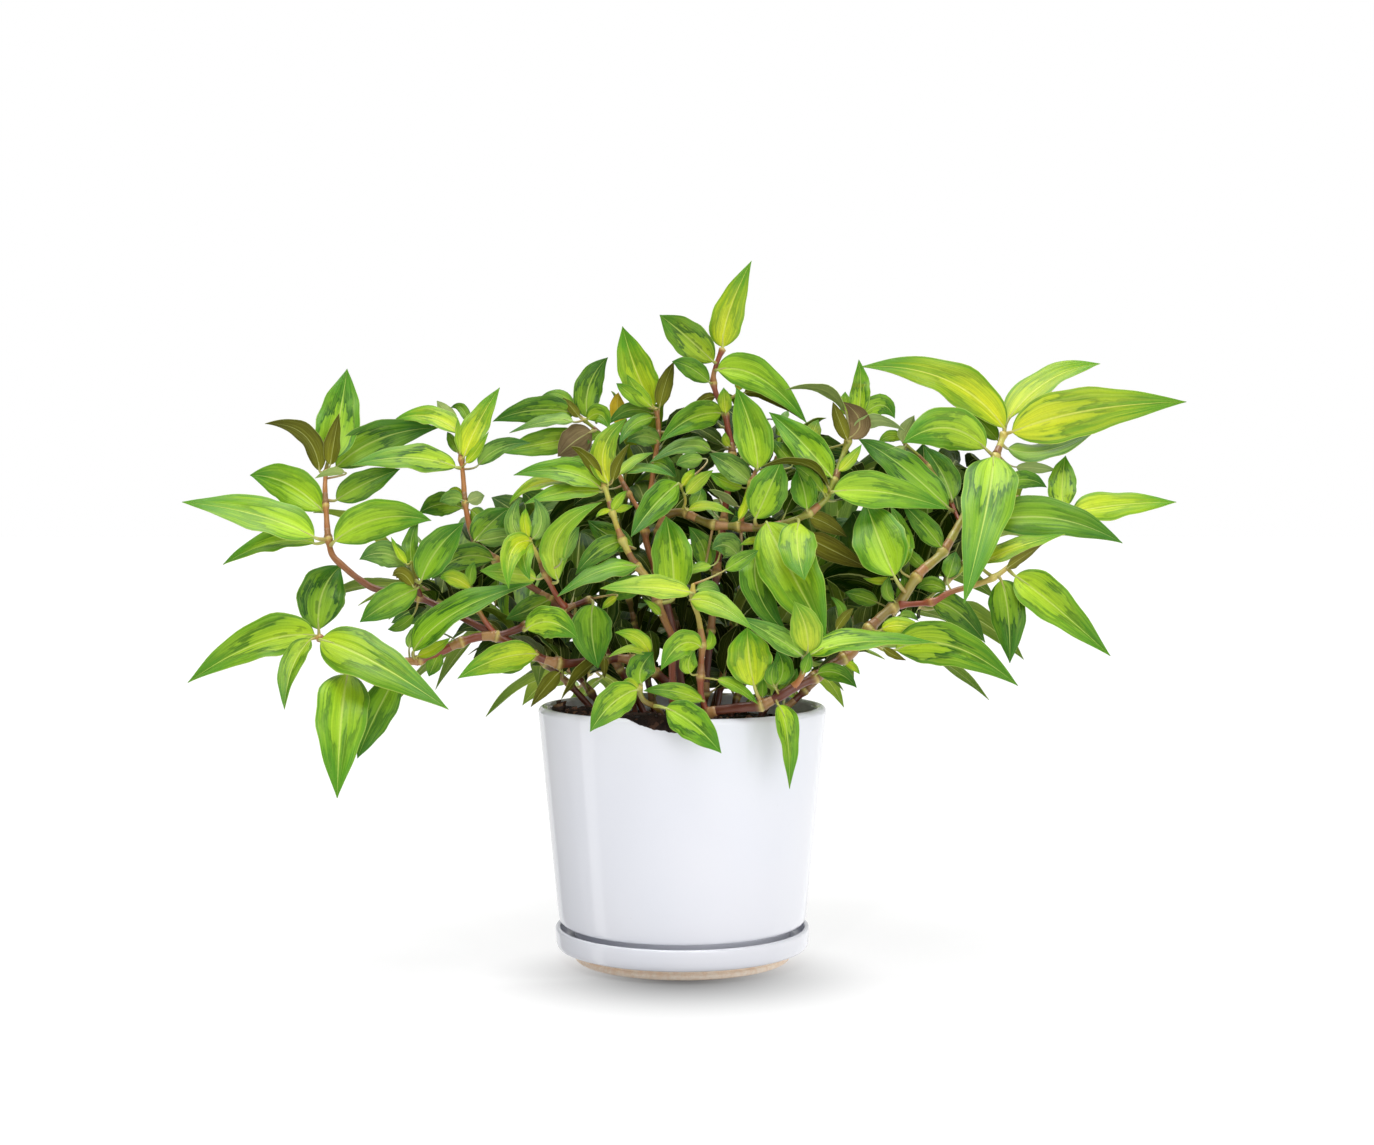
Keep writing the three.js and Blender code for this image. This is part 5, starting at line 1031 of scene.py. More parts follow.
def soil_material(wet=False):
    """Crumbly potting mix, darker and plainer where it is wet"""
    g = Graph("wet_soil" if wet else "soil_mix")
    place = g.place()
    lumps = g.noise(place, 140.0, 6.0, 0.65)
    fine = g.noise(place, 900.0, 4.0, 0.6)
    cells = g.node("ShaderNodeTexVoronoi", {"Vector": place, "Scale": 520.0}).outputs["Color"]
    cell = g.node("ShaderNodeSeparateColor", {"Color": cells}).outputs[0]
    colour = g.mix(g.ramp(lumps, 0.35, 0.7), rgb("#130d0a"), rgb("#2a1b13" if wet else "#3a281e"))
    colour = g.mix(g.ramp(fine, 0.55, 0.75, 0.0, 0.35 if wet else 0.7), colour, rgb("#5a4030"))
    colour = g.mix(g.ramp(cell, 0.86, 0.93, 0.0, 0.2 if wet else 0.6), colour, rgb("#7d5a45"))
    g.bump(g.plus(lumps, g.times(fine, 0.6)), 0.9, 0.0016)
    return g.finish(Base_Color=colour, Roughness=g.scaled(fine, 0.4, 0.45 if wet else 0.55),
                    Specular_IOR_Level=0.10 if wet else 0.20)


def chip_material():
    """Bark in the vertices' tint with dark fibres"""
    g = Graph("soil_chips")
    place = g.place()
    fibres = g.noise(place, 700.0, 4.0, 0.6)
    tint = g.colour("tint")
    dark = g.mix(1.0, tint, (0.45, 0.42, 0.4, 1.0), "MULTIPLY")
    colour = g.mix(g.ramp(fibres, 0.35, 0.65), dark, tint)
    g.bump(fibres, 0.7, 0.0008)
    return g.finish(Base_Color=colour, Roughness=g.scaled(fibres, 0.3, 0.55))


LEAF_TOP = leaf_material("leaf_upper", "inner", "outer", False)
LEAF_UNDER = leaf_material("leaf_under", "under_inner", "under_outer", True)
STEM_SKIN = stem_material()


# The plant
def settle(piece, nodes):
    """Puts a piece on the body, in place of the CAD's nodes"""
    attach(piece, "root")
    if nodes:
        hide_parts(*nodes)


def make_shoot(shoot):
    """A shoot's stems with their leaf stalks as one piece, and its blades as another"""
    name, routes, leaves = shoot["name"], shoot["routes"], shoot["leaves"]
    stems, blades, borders = Builder(), Builder(), []
    roots = [leaf["root"] for leaf in leaves] + [route.points[0] for route in routes[1:]]
    for route, radius, tones in zip(routes, shoot["radii"], shoot["tones"]):
        add_stem(stems, route, radius, tones, roots)
    for leaf in leaves:
        add_petiole(stems, leaf, rng.choice(STALK_TONES))
        add_blade(blades, borders, leaf)
    settle(stems.make(f"{name}_jointed_stems", [STEM_SKIN]), [f"{name}_stems"])
    own = sorted(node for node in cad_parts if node.startswith(f"{name}_leaf_"))
    settle(blades.make(f"{name}_blades", [LEAF_TOP, LEAF_UNDER], borders), own)


SAMPLE_PLACES = np.linspace(0.04, 0.96, 7)[:, None]
OUTLINE_PLACES = np.linspace(0.02, 0.98, 9)[:, None]


def leaf_samples(leaf):
    """Points over a leaf's surface, to keep other leaves clear of it"""
    return np.concatenate(blade_lines(leaf, SAMPLE_PLACES, leaf["width"] / 2))


def blade_outline(leaf):
    """A blade's outline as it is seen, a little drawn in, [x, z]"""
    _, left, right = blade_lines(leaf, OUTLINE_PLACES, 0.46 * leaf["width"])
    return np.concatenate([flat_view(left), flat_view(right)[::-1]]).tolist()


def flat_view(points):
    """Where points are seen, on the pot's mid-plane: [x, z]"""
    reach = -EYE[1] / (points[:, 1] - EYE[1])
    return np.stack([EYE[0] + (points[:, 0] - EYE[0]) * reach, EYE[2] + (points[:, 2] - EYE[2]) * reach], 1)


def inside(points, outline):
    """Whether each [x, z] point is inside a closed outline"""
    found = np.zeros(len(points), bool)
    for (ax, az), (bx, bz) in zip(outline, outline[1:] + outline[:1]):
        crosses = (az > points[:, 1]) != (bz > points[:, 1])
        found ^= crosses & (points[:, 0] < (bx - ax) * (points[:, 1] - az) / (bz - az + 1e-9) + ax)
    return found


# The closed mass of the foliage as it is seen, [x, z]
FULL_OUTLINE = [[-150, 165], [-148, 196], [-122, 208], [-92, 228], [-70, 232], [-58, 252], [-30, 256],
                [-14, 268], [28, 270], [60, 262], [84, 246], [100, 252], [150, 252], [158, 226], [150, 196],
                [120, 168], [96, 152], [72, 140], [55, 126], [40, 122], [-18, 124], [-40, 134], [-74, 138],
                [-100, 141], [-122, 156]]
# Leaves that fill it along the stems: the bare stretch at either end of a stem, the step between pairs, tries
# for each leaf, how many at most, their angle to the stem, length, and width in shares of it
FILL_START, FILL_END = 16, 4
FILL_STEP = 6.5
FILL_TRIES = 4
FILL_LIMIT = 460
FILL_SPREAD = (0.6, 1.25)
FILL_LENGTH = (20, 38)
FILL_WIDTH = (0.36, 0.46)
# Leaves that fill the gaps left, which are looked for on a grid over the view: how far from a stem a gap may be
GAP_TRIES = 10
GAP_LIMIT = 380
GAP_GRID = 2.5
GAP_SPANS = (-150, 161), (124, 271)
GAP_REACH = (6, 40)
GAP_LENGTH = (20.0, 48.0)
GAP_WIDTH = (0.40, 0.52)
# Both: stalk, rise and droop, the painted shade that darkens their colours in front and what is added to it
# over a depth to lighten them towards the back, how clear of other leaves, how clear of what they would hide in
# the view (at the edges and the midrib), and how low
FILL_STALK = (4, 7)
FILL_RISE = 0.06
FILL_DROOP = (0.05, 0.25)
FILL_PAINTED_SHADE = (0.08, 0.28)
PAINTED_SHADE_LIFT_AT_BACK, PAINTED_SHADE_LIFT_DEPTHS = 0.45, (30, 75)
CLEAR_OF_LEAVES = 2.4
HIDING_DISTANCE = 5.5
MIDRIB_HIDING_DISTANCE = 3
LOWEST_FILL = 127
FILL_LOOKS = ["deep", "deep", "fresh", "glaucous"]
NEIGHBOURS = [(i, j, k) for i in (-1, 0, 1) for j in (-1, 0, 1) for k in (-1, 0, 1)]


class Crowd:
    """Points kept in cells, to tell quickly whether new ones would come too near"""

    def __init__(self, limit):
        self.limit, self.cells = limit, {}

    def keys(self, points):
        return [tuple(key) for key in np.floor(points / self.limit).astype(int).tolist()]

    def add(self, points):
        for key, point in zip(self.keys(points), points.tolist()):
            self.cells.setdefault(key, []).append(point)

    def near(self, points):
        for (i, j, k), (x, y, z) in zip(self.keys(points), points.tolist()):
            for a, b, c in NEIGHBOURS:
                for p, q, r in self.cells.get((i + a, j + b, k + c), ()):
                    if (x - p) ** 2 + (y - q) ** 2 + (z - r) ** 2 < self.limit ** 2:
                        return True
        return False


class Filling:
    """Smaller leaves in the dark behind the placed ones, their colours darkened with painted shade: clear of
    them, and never seen in front of them
    """

    def __init__(self, shoots):
        self.crowd = Crowd(CLEAR_OF_LEAVES)
        for shoot in shoots:
            for leaf in shoot["leaves"]:
                self.crowd.add(leaf_samples(leaf))
        picked = [shoot for shoot in shoots if shoot["picked"]]
        shown = np.concatenate([leaf_samples(leaf) for shoot in picked for leaf in shoot["leaves"]]
                               + [route.even(4)[0] for shoot in picked for route in shoot["routes"]])
        self.shown_flat, self.shown_depth = flat_view(shown), shown[:, 1]

    def leaf(self, root, direction, reach, up, width):
        """A fill leaf with painted shade: its colours darkened in front, less towards the back"""
        return arched_leaf(root, direction, reach, rng.uniform(*FILL_STALK), FILL_RISE,
                           rng.uniform(*FILL_DROOP), up, width, rng.choice(FILL_LOOKS), fill=True,
                           shade=rng.uniform(*FILL_PAINTED_SHADE) + PAINTED_SHADE_LIFT_AT_BACK * smoothstep(root[1], *PAINTED_SHADE_LIFT_DEPTHS))

    def takes(self, leaf):
        """Keeps a leaf if it has room where it is"""
        samples = leaf_samples(leaf)
        flat = flat_view(samples)
        if samples[:, 2].min() < LOWEST_FILL or not inside(flat, FULL_OUTLINE).all():
            return False
        gaps = np.linalg.norm(self.shown_flat[None] - flat[:, None], axis=2)
        ahead = samples[:, 1][:, None] < self.shown_depth[None] + 1
        edges = slice(len(SAMPLE_PLACES), None)
        if ((gaps < HIDING_DISTANCE) & ahead)[edges].any() or ((gaps < MIDRIB_HIDING_DISTANCE) & ahead).any():
            return False
        if self.crowd.near(samples):
            return False
        self.crowd.add(samples)
        return True


def fill_along(shoots, filling):
    """Pairs of small leaves all along the stems"""
    made = 0
    for shoot in shoots:
        backward = 0.25 if shoot["picked"] else 0.0
        for route in shoot["routes"]:
            points, lengths = route.even(1.5)
            tangents = unit(np.gradient(points, axis=0))
            place = FILL_START + rng.uniform(0, 5)
            wind = rng.uniform(0, TURN)
            while place < lengths[-1] - FILL_END:
                i = int(np.searchsorted(lengths, place))
                across, over = cross_directions(tangents[i], 1e-6)
                place += FILL_STEP * rng.uniform(0.8, 1.2)
                wind += GOLDEN_ANGLE
                for turn in (0.0, math.pi):
                    for _ in range(FILL_TRIES):
                        spread = rng.uniform(*FILL_SPREAD)
                        angle = wind + turn + rng.uniform(-0.7, 0.7)
                        outward = across * math.cos(angle) + over * math.sin(angle)
                        direction = tangents[i] * math.cos(spread) + outward * math.sin(spread)
                        direction = unit(direction + np.array([0, backward, 0.15]))
                        reach = rng.uniform(*FILL_LENGTH)
                        up = np.array([rng.uniform(-0.6, 0.6), rng.uniform(-0.7, 0.3), 1.0])
                        width = reach * rng.uniform(*FILL_WIDTH)
                        leaf = filling.leaf(points[i], direction, reach, up, width)
                        if filling.takes(leaf):
                            shoot["leaves"].append(leaf)
                            made += 1
                            break
                if made >= FILL_LIMIT:
                    return


def fill_gaps(shoots, filling):
    """Leaves on the far stems wherever the light would show through the closed mass"""
    xs, zs = (np.arange(*span, GAP_GRID) for span in GAP_SPANS)
    cells = np.stack(np.meshgrid(xs, zs), -1).reshape(-1, 2)
    cells = cells[inside(cells, FULL_OUTLINE)]
    covered = np.zeros(len(cells), bool)

    def cover(leaf):
        outline = blade_outline(leaf)
        low, high = np.min(outline, axis=0), np.max(outline, axis=0)
        close = np.flatnonzero(((cells >= low) & (cells <= high)).all(1))
        if len(close):
            covered[close[inside(cells[close], outline)]] = True

    owners, stems = [], []
    for shoot in shoots:
        for leaf in shoot["leaves"]:
            cover(leaf)
        for route in shoot["routes"]:
            points = route.even(3)[0][4:]
            stems.append(points)
            owners += [shoot] * len(points)
    stems = np.concatenate(stems)
    stems_flat = flat_view(stems)
    made = 0
    order = list(range(len(cells)))
    rng.shuffle(order)
    for number in order:
        if covered[number]:
            continue
        distance = np.linalg.norm(stems_flat - cells[number], axis=1)
        near, far = GAP_REACH
        possible = np.flatnonzero((distance > near) & (distance < far) & (stems[:, 1] > -12))
        for _ in range(GAP_TRIES if len(possible) else 0):
            pick = int(possible[int(rng.random() * len(possible))])
            root = stems[pick]
            target = seen(*cells[number], root[1] + rng.uniform(-2, 26))
            span = target - root
            reach = float(np.clip(np.linalg.norm(span) * rng.uniform(1.2, 1.7), *GAP_LENGTH))
            up = unit(EYE - target) * rng.uniform(0.6, 1.2)
            up = up + np.array([rng.uniform(-0.4, 0.4), 0.0, rng.uniform(0.2, 0.8)])
            leaf = filling.leaf(root, unit(span), reach, up, reach * rng.uniform(*GAP_WIDTH))
            if filling.takes(leaf):
                owners[pick]["leaves"].append(leaf)
                cover(leaf)
                made += 1
                break
        if made >= GAP_LIMIT:
            break


picked, grown = [], []
for entry in SHOOTS:
    curves = [Route([leaning(*point) for point in route]) for _, route in entry["stems"]]
    picked.append({"name": entry["name"], "picked": True, "routes": curves,
                   "radii": [radius for radius, _ in entry["stems"]], "tones": STEM_TONES[entry["name"]],
                   "leaves": [picked_leaf(row, curves) for row in entry["leaves"]]})
for number, (name, length, route) in enumerate(BACK_SHOOTS):
    curve = Route([seen(*point) for point in route])
    grown.append({"name": name, "picked": False, "routes": [curve], "radii": [BACK_STEM_RADIUS],
                  "tones": [("brown", "green")],
                  "leaves": [grown_leaf(i, number, curve, length) for i in range(BACK_LEAVES)]})
filling = Filling(grown + picked)
fill_along(grown + picked, filling)
fill_gaps(grown + picked, filling)
for shoot in picked + grown:
    make_shoot(shoot)


# Pot, saucer and soil
def arc(radius, height, size, start, end, steps):
    """[radius, height] points along an arc of a size about a centre"""
    angles = np.radians(np.linspace(start, end, steps + 1))
    return [[radius + size * math.cos(a), height + size * math.sin(a)] for a in angles]


def inner_radius(height):
    """The radius of the pot's inner wall"""
    slope = (POT_RIM_RADIUS - POT_SHOULDER_RADIUS) / (POT_RIM_HEIGHT - POT_SHOULDER_HEIGHT)
    return POT_SHOULDER_RADIUS - POT_WALL + slope * (height - POT_SHOULDER_HEIGHT)


SOIL_EDGE = inner_radius(SOIL_EDGE_HEIGHT) - SEAT_GAP
TURNED_SIDES = 160


def refine(outline, step):
    """More points on the straight runs of an outline"""
    points = [outline[0]]
    for a, b in zip(outline[:-1], outline[1:]):
        count = max(1, int(math.dist(a, b) / step))
        for k in range(1, count + 1):
            points.append([a[0] + (b[0] - a[0]) * k / count, a[1] + (b[1] - a[1]) * k / count])
    return points


def turned(name, outline, material, closed_ring):
    """A turned body from [radius, height] points, listed upwards on the outside"""
    outline = np.array(outline)
    angles = around(TURNED_SIDES)
    ring = outline[:-1] if closed_ring else outline[1:-1]
    body = np.stack([ring[:, :1] * np.cos(angles), ring[:, :1] * np.sin(angles),
                     np.repeat(ring[:, 1:], TURNED_SIDES, axis=1)], -1).reshape(-1, 3)
    if not closed_ring:
        body = np.concatenate([body, [[0, 0, outline[0][1]], [0, 0, outline[-1][1]]]])
    builder = Builder()
    builder.add(body, ring_faces(len(ring), TURNED_SIDES, closed_ring))
    return builder.make(name, [material])


def pot_outline():
    """The pot's wall from the drainage hole out under the foot ring, up the outside and down the inside"""
    base = SAUCER_FLOOR_HEIGHT + SEAT_GAP
    underside, step = base + RING_HOLLOW, base + RING_STEP
    floor = underside + POT_FLOOR
    lip = POT_WALL / 2
    hollow = refine([[DRAIN_RADIUS + 0.8, underside], [RING_INNER_RADIUS - 0.6, underside]], 6)
    hollow += [[RING_INNER_RADIUS, underside - 0.6], [RING_INNER_RADIUS + 0.2, base + 0.8],
               [RING_INNER_RADIUS + 1, base]]
    foot = [[RING_OUTER_RADIUS - 0.9, base], [RING_OUTER_RADIUS, base + 0.9], [RING_OUTER_RADIUS, step - 0.9]]
    foot += [[RING_OUTER_RADIUS + 0.3, step - 0.3], [RING_OUTER_RADIUS + 0.9, step]]
    corner = [[56.4, step + 0.05], [57.6, step + 0.2], [58.5, step + 0.55], [59.2, step + 1.05],
              [59.7, step + 1.7], [60.05, step + 2.6]]
    wall = refine([[POT_SHOULDER_RADIUS, POT_SHOULDER_HEIGHT], [POT_RIM_RADIUS, POT_RIM_HEIGHT - lip]], 5)
    top = arc(POT_RIM_RADIUS - lip, POT_RIM_HEIGHT - lip, lip, 0, 180, 16)[1:]
    cove = inner_radius(floor + POT_COVE_TOP)
    inner = refine([[inner_radius(POT_RIM_HEIGHT - lip), POT_RIM_HEIGHT - lip - 0.5],
                    [cove, floor + POT_COVE_TOP], [cove - POT_COVE, floor + POT_COVE_HEIGHT],
                    [POT_FLOOR_RADIUS, floor], [DRAIN_RADIUS + 0.8, floor]], 6)
    drain = [[DRAIN_RADIUS, floor - 0.8], [DRAIN_RADIUS, underside + 0.8]]
    ring = hollow + foot + corner + wall + top + inner + drain
    return ring + [ring[0]]


def saucer_outline():
    """The saucer from the middle of its underside out over the foot, up to the rim and down into the dish"""
    lip = SAUCER_WALL / 2
    inner = SAUCER_RIM_RADIUS - SAUCER_WALL
    foot = [[0, 0]] + refine([[8, 0.0], [FOOT_BOTTOM_RADIUS - 0.5, 0.0]], 6)
    foot += [[FOOT_BOTTOM_RADIUS - 0.1, 0.3], [FOOT_BOTTOM_RADIUS, 0.8], [FOOT_BOTTOM_RADIUS - 0.05, 1.9]]
    foot += [[FOOT_BOTTOM_RADIUS - 0.35, 2.4], [FOOT_BOTTOM_RADIUS - 0.9, 2.65], [FOOT_RADIUS - 0.3, 2.9]]
    foot += [[FOOT_RADIUS - 0.35, FOOT_HEIGHT - 0.6]]
    under = [[FOOT_RADIUS, FOOT_HEIGHT - 0.15], [FOOT_RADIUS + 0.5, FOOT_HEIGHT]]
    rim = SAUCER_RIM_RADIUS
    under += refine([[FOOT_RADIUS + 1.2, FOOT_HEIGHT + 0.15], [rim - 2.4, FOOT_HEIGHT + 0.35]], 3)
    under += [[rim - 1.3, FOOT_HEIGHT + 0.9], [rim - 0.7, FOOT_HEIGHT + 1.8]]
    wall = refine([[rim - 0.35, FOOT_HEIGHT + 3.0], [rim, SAUCER_RIM_HEIGHT - lip]], 2)
    top = arc(rim - lip, SAUCER_RIM_HEIGHT - lip, lip, 0, 180, 10)[1:]
    dish = [[inner - 0.2, 13.4], [inner - 0.7, 11.9], [inner - 1.5, 10.4], [inner - 2.6, 9.2],
            [inner - 3.6, 8.7]]
    dish += refine([[inner - 4.6, SAUCER_FLOOR_HEIGHT], [8, SAUCER_FLOOR_HEIGHT]], 6)
    return foot + under + wall + top + dish + [[0, SAUCER_FLOOR_HEIGHT]]


settle(turned("glazed_pot", pot_outline(), glaze_material("pot_glaze", -1.0), True), ["pot"])
settle(turned("glazed_saucer", saucer_outline(), glaze_material("saucer_glaze", FOOT_HEIGHT * MM), False),
       ["saucer"])

# Mounds of soil: height, middle x and y, half length in x and y; and how high they are together at most
MOUNDS = [[11, -20, -54, 30, 8.5], [9.5, -45, -33, 13, 16], [9.0, -62, -2, 17, 40]]
HIGHEST_MOUND = 10.5
SOIL_SIDES, SOIL_RINGS = 180, 62


def soil_top(x, y):
    """Height of the soil's crumbly surface"""
    distance = math.hypot(x, y)
    crown = SOIL_EDGE_HEIGHT + SOIL_CROWN * (0.35 + 0.55 * (1 - (distance / SOIL_EDGE) ** 2))
    place = Vector((x * 0.05, y * 0.05, 3.0))
    coarse = noise.fractal(place, 0.9, 2.1, 4)
    fine = noise.fractal(place * 7, 0.8, 2.2, 4)
    rough = 0.35 + 0.65 * float(1 - smoothstep(distance, SOIL_EDGE - 3, SOIL_EDGE))
    mound = 0.0
    for high, middle_x, middle_y, half_x, half_y in MOUNDS:
        mound += high * math.exp(-((x - middle_x) / half_x) ** 2 - ((y - middle_y) / half_y) ** 2)
    return crown + min(mound, HIGHEST_MOUND) + (1.3 * coarse + 0.7 * fine) * rough


def make_soil():
    """The soil from the pot's floor up, its top in rings that narrow towards the middle"""
    floor = SAUCER_FLOOR_HEIGHT + RING_HOLLOW + POT_FLOOR + 2 * SEAT_GAP
    cove = inner_radius(floor + POT_COVE_TOP)
    angles = around(SOIL_SIDES)
    rows = [[POT_FLOOR_RADIUS - SEAT_GAP, floor], [cove - POT_COVE - SEAT_GAP, floor + POT_COVE_HEIGHT],
            [cove - SEAT_GAP, floor + POT_COVE_TOP]]
    points = [[r * math.cos(a), r * math.sin(a), h] for r, h in rows for a in angles]
    for ring in range(SOIL_RINGS):
        radius = SOIL_EDGE * (1 - ring / SOIL_RINGS)
        for a in angles:
            x, y = radius * math.cos(a), radius * math.sin(a)
            points.append([x, y, soil_top(x, y)])
    points += [[0, 0, floor], [0, 0, soil_top(0, 0)]]
    builder = Builder()
    builder.add(points, ring_faces(len(rows) + SOIL_RINGS, SOIL_SIDES))
    return builder.make("potting_soil", [soil_material()])


settle(make_soil(), ["soil"])

# The soil over the rim by degrees from the front: how far it reaches along the lip from the lip's inner
# edge, and how thick it is. It starts below that edge, inside the pot.
SPILL_TURNS = [-58, -50, -42, -34, -27, -22, -16, -10, -4, 1, 6, 10, 13]
SPILL_REACH = [0.5, 1.2, 1.7, 2.2, 3.0, 4.8, 8.2, 10.2, 11.4, 11.6, 10.5, 6.0, 1.5]
SPILL_THICKNESS = [0.3, 0.9, 1.2, 1.5, 1.7, 1.9, 2.1, 2.2, 2.3, 2.3, 2.1, 1.4, 0.4]
SPILL_START = 5
SPILL_POINTS = 22
SPILL_SECTIONS = 130
SPILL_LUMP = 0.8
WALL_SLOPE = 0.094


def lip_path(distance):
    """The place on the lip's surface at a distance from its inner edge: radius, height and outward direction"""
    size = POT_WALL / 2
    if distance < 0:
        return POT_RIM_RADIUS - POT_WALL + WALL_SLOPE * distance, POT_RIM_HEIGHT - size + distance, -1.0, 0.0
    turn = min(distance / size, math.pi)
    over = max(0.0, distance - math.pi * size)
    radius = POT_RIM_RADIUS - size - size * math.cos(turn) - WALL_SLOPE * over
    return radius, POT_RIM_HEIGHT - size + size * math.sin(turn) - over, -math.cos(turn), math.sin(turn)


def spill_section(angle):
    """A section of the soil over the rim: [radius, height] out over the lip and back under"""
    ragged = 0.8 * noise.noise(Vector((angle * 0.22, 4.0, 1.0)))
    ragged += 0.5 * noise.noise(Vector((angle * 0.7, 9.0, 1.0)))
    reach = np.interp(angle, SPILL_TURNS, SPILL_REACH) + ragged
    thick = np.interp(angle, SPILL_TURNS, SPILL_THICKNESS)
    over, under = [], []
    for share in np.linspace(0, 1, SPILL_POINTS):
        radius, height, out, up = lip_path(-SPILL_START + (reach + SPILL_START) * share)
        depth = 0.12 + thick * (1 - share ** 3) ** 0.6
        over.append([radius + out * depth, height + up * depth])
        under.append([radius + out * 0.1, height + up * 0.1])
    return np.array(over + under[::-1])


def make_spill():
    """Dark soil and root crumbs hanging over the front of the rim, and the points of its sections"""
    turns = np.linspace(SPILL_TURNS[0], SPILL_TURNS[-1], SPILL_SECTIONS)
    rings = []
    for share, angle in zip(np.linspace(0.0, 1.0, SPILL_SECTIONS), turns):
        a = math.radians(angle)
        ends = min(1.0, 8 * share, 8 * (1 - share))
        ring = []
        for number, (radius, height) in enumerate(spill_section(angle)):
            spot = Vector((radius * math.sin(a), -radius * math.cos(a), height))
            if number < SPILL_POINTS:
                calm = min(1.0, (SPILL_POINTS - 1 - number) / 4) * ends
                lump = SPILL_LUMP * noise.fractal(spot * 0.38, 0.8, 2.1, 4) * calm
                spot += Vector((math.sin(a), -math.cos(a), 0.5)) * max(lump, -0.25)
            ring.append(list(spot))
        rings.append(ring)
    rings = np.array(rings)
    ends = [np.mean(rings[0], axis=0), np.mean(rings[-1], axis=0)]
    builder = Builder()
    builder.add(np.concatenate([rings.reshape(-1, 3), ends]), ring_faces(*rings.shape[:2]))
    return builder.make("soil_over_the_rim", [soil_material(True)]), rings


spill, spill_rings = make_spill()
settle(spill, [])

# Crumbs and bark chips: their colours, how many, and how far out. Some lie on the soil over the rim.
CHIP_TONES = ["#2a1c15", "#3b271c", "#1d1410", "#54382a", "#6d4a36", "#8a5f45", "#a98467", "#4a2e22", "#251a15"]
DARK_TONES = ["#1a120e", "#241811", "#150f0c", "#3a241a", "#52301f"]
CHIP_FACES = np.array([[0, 3, 2, 1], [4, 5, 6, 7], [0, 1, 5, 4], [1, 2, 6, 5], [2, 3, 7, 6], [3, 0, 4, 7]])
CHIP_COUNT = 900
CHIP_REACH = 61.5
SPILL_CHIPS = 90


def add_chip(builder, centre, size, tones):
    """One crumb or bark chip: a bent block with every corner out of true"""
    corners = np.array([[x, y, z] for z in (-1, 1) for x, y in ((-1, -1), (1, -1), (1, 1), (-1, 1))], float)
    corners *= np.array([rng.uniform(0.5, 1.2), rng.uniform(0.4, 0.8), rng.uniform(0.25, 0.55)])
    corners += np.array([[rng.uniform(-0.25, 0.25) for _ in range(3)] for _ in range(8)])
    turn = Vector((rng.uniform(-0.5, 0.5), rng.uniform(-0.5, 0.5), 1)).to_track_quat("Z", "Y").to_matrix()
    spin = rng.uniform(0, TURN)
    flat = np.array([[math.cos(spin), -math.sin(spin), 0], [math.sin(spin), math.cos(spin), 0], [0, 0, 1]])
    corners = corners @ flat.T @ np.array(turn).T * size + centre
    tint = np.append(linear(rng.choice(tones)) * rng.uniform(0.8, 1.2), 1)
    builder.add(corners, [CHIP_FACES], tint=tint)


chips = Builder()
for _ in range(CHIP_COUNT):
    reach = CHIP_REACH * math.sqrt(rng.random())
    angle = rng.uniform(0, TURN)
    x, y = reach * math.cos(angle), reach * math.sin(angle)
    size = rng.uniform(0.5, 1.3) if rng.random() < 0.8 else rng.uniform(1.3, 2.4)
    add_chip(chips, np.array([x, y, soil_top(x, y) + size * 0.15]), size, CHIP_TONES)
for _ in range(SPILL_CHIPS):
    ring = spill_rings[int(rng.uniform(6, len(spill_rings) - 6))]
    spot = ring[int(rng.uniform(2, len(ring) // 2 - 3))]
    add_chip(chips, spot, rng.uniform(0.5, 1.2), DARK_TONES)
settle(chips.make("soil_crumbs", [chip_material()]), [])


# Floor, light and camera
FLOOR_HALF = 12.0
FLOOR_GREYS = (0.17, 0.19)
# The floor's glow, and between which distances from the pot's axis it rises; its fading under the pot is a
# painted contact shadow. The painted shadow is shifted forward and drawn out sideways, as distances across are
# squeezed.
FLOOR_GLOW = 0.82
PAINTED_SHADOW_FROM, PAINTED_SHADOW_TO = -0.014, 0.094
PAINTED_SHADOW_FORWARD = 0.045
PAINTED_SHADOW_SQUEEZE = 0.90
WHITE, BLACK = (1.0, 1.0, 1.0, 1.0), (0.0, 0.0, 0.0, 1.0)

# Cards that show only as long upright reflections on the pot: where each starts and ends on its wall,
# in degrees from the front, and brightness. Seen from a little above, the wall mirrors the table.
CARDS = [[-73, -52, 0.45], [-52, -44.5, 0.7], [-44.5, -38, 2.0], [-90, -74, 1.0], [48, 80, 1.3]]
CARD_LENGTH = 1.6
CARD_HEIGHT = 0.001
CARD_STEPS = 6

# Wide, distant lights: name, direction from which they shine, strength, and spread in degrees
LIGHTS = [["front", (0.75, -1.0, 0.35), 1.32, 90], ["low", (0.55, -1.0, 0.03), 0.96, 40],
          ["side", (-0.90, -0.7, 0.50), 0.40, 90], ["top", (-0.10, -0.10, 1.0), 2.5, 42],
          ["back", (-0.10, 0.6, 1.0), 0.8, 60], ["rear", (0.30, 1.0, 0.45), 1.20, 90]]


def sheet(name, points, faces, material):
    """A flat mesh"""
    mesh = bpy.data.meshes.new(name)
    mesh.from_pydata(points, [], faces)
    mesh.materials.append(material)
    return link(name, mesh)


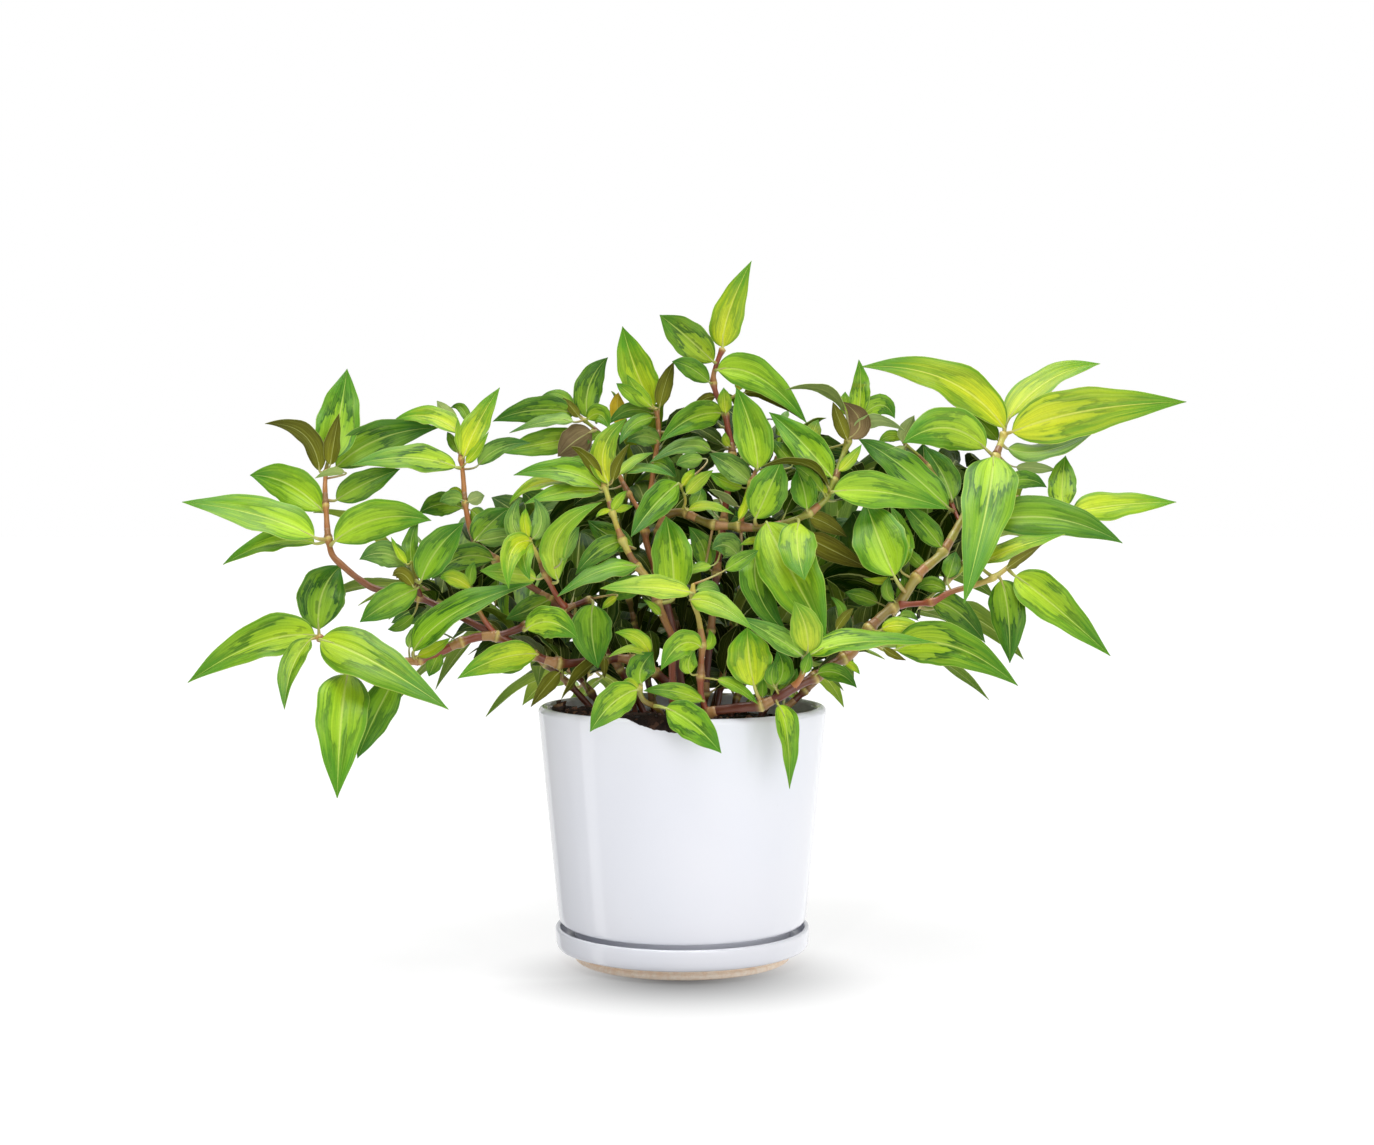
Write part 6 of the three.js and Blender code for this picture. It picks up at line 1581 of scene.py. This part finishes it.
def make_floor():
    """A pale lit table top, like a shadowless photographic table, whose glow fades under the pot as a painted
    contact shadow
    """
    g = Graph("pale_floor")
    place = g.place()
    parts = g.split(place)
    # The glow fades towards the pot: a painted contact shadow on the table.
    reach = g.distance(g.times(parts[0], PAINTED_SHADOW_SQUEEZE), g.plus(parts[1], PAINTED_SHADOW_FORWARD))
    glow_with_painted_shadow = g.ramp(reach, PAINTED_SHADOW_FROM, PAINTED_SHADOW_TO, 0.0, FLOOR_GLOW)
    low, high = ((grey, grey, grey, 1.0) for grey in FLOOR_GREYS)
    material = g.finish(Base_Color=g.mix(g.noise(place, 4.0, 2.0), low, high), Roughness=0.9,
                        Specular_IOR_Level=0.1, Emission_Color=WHITE, Emission_Strength=glow_with_painted_shadow)
    corners = [(x * FLOOR_HALF, y * FLOOR_HALF, 0) for x, y in ((-1, -1), (1, -1), (1, 1), (-1, 1))]
    floor = sheet("floor", corners, [(0, 1, 2, 3)], material)


def make_card(number, start, end, brightness):
    """A card on the table, its edges along the directions in which the wall mirrors them"""
    g = Graph(f"card_{number}")
    material = g.finish(Base_Color=BLACK, Roughness=1.0, Specular_IOR_Level=0.0,
                        Emission_Color=WHITE, Emission_Strength=brightness)
    near, far = [], []
    for turn in np.radians(np.linspace(start, end, CARD_STEPS + 1)):
        x, y = SAUCER_RIM_RADIUS * MM * math.sin(turn), -SAUCER_RIM_RADIUS * MM * math.cos(turn)
        near.append((x, y, CARD_HEIGHT))
        far.append((x + CARD_LENGTH * math.sin(2 * turn), y - CARD_LENGTH * math.cos(2 * turn), CARD_HEIGHT))
    beyond = len(near)
    faces = [(i, i + 1, beyond + i + 1, beyond + i) for i in range(CARD_STEPS)]
    card = sheet(f"card_{number}", near + far, faces, material)
    card.visible_camera = False
    card.visible_diffuse = False
    card.visible_shadow = False


make_floor()
for number, card in enumerate(CARDS):
    make_card(number, *card)
world = bpy.data.worlds.new("studio")
world.use_nodes = True
background = world.node_tree.nodes["Background"]
background.inputs[0].default_value = WHITE
background.inputs[1].default_value = 1.0
world.cycles_visibility.diffuse = False
world.cycles_visibility.glossy = False
bpy.context.scene.world = world
for name, source, strength, spread in LIGHTS:
    data = bpy.data.lights.new(name, "SUN")
    data.energy = strength
    data.angle = math.radians(spread)
    lamp = link(name, data)
    lamp.rotation_euler = Vector(source).to_track_quat("Z", "Y").to_euler()

camera = bpy.data.cameras.new("camera")
camera.sensor_width = SENSOR
camera.lens = FOCAL / PICTURE_WIDTH * SENSOR
camera.clip_start, camera.clip_end = 0.01, 50
viewer = link("camera", camera)
viewer.location = EYE * MM
viewer.rotation_euler = (math.pi / 2 - PITCH, 0, 0)
bpy.context.scene.camera = viewer
bpy.context.scene.view_settings.view_transform = "Standard"
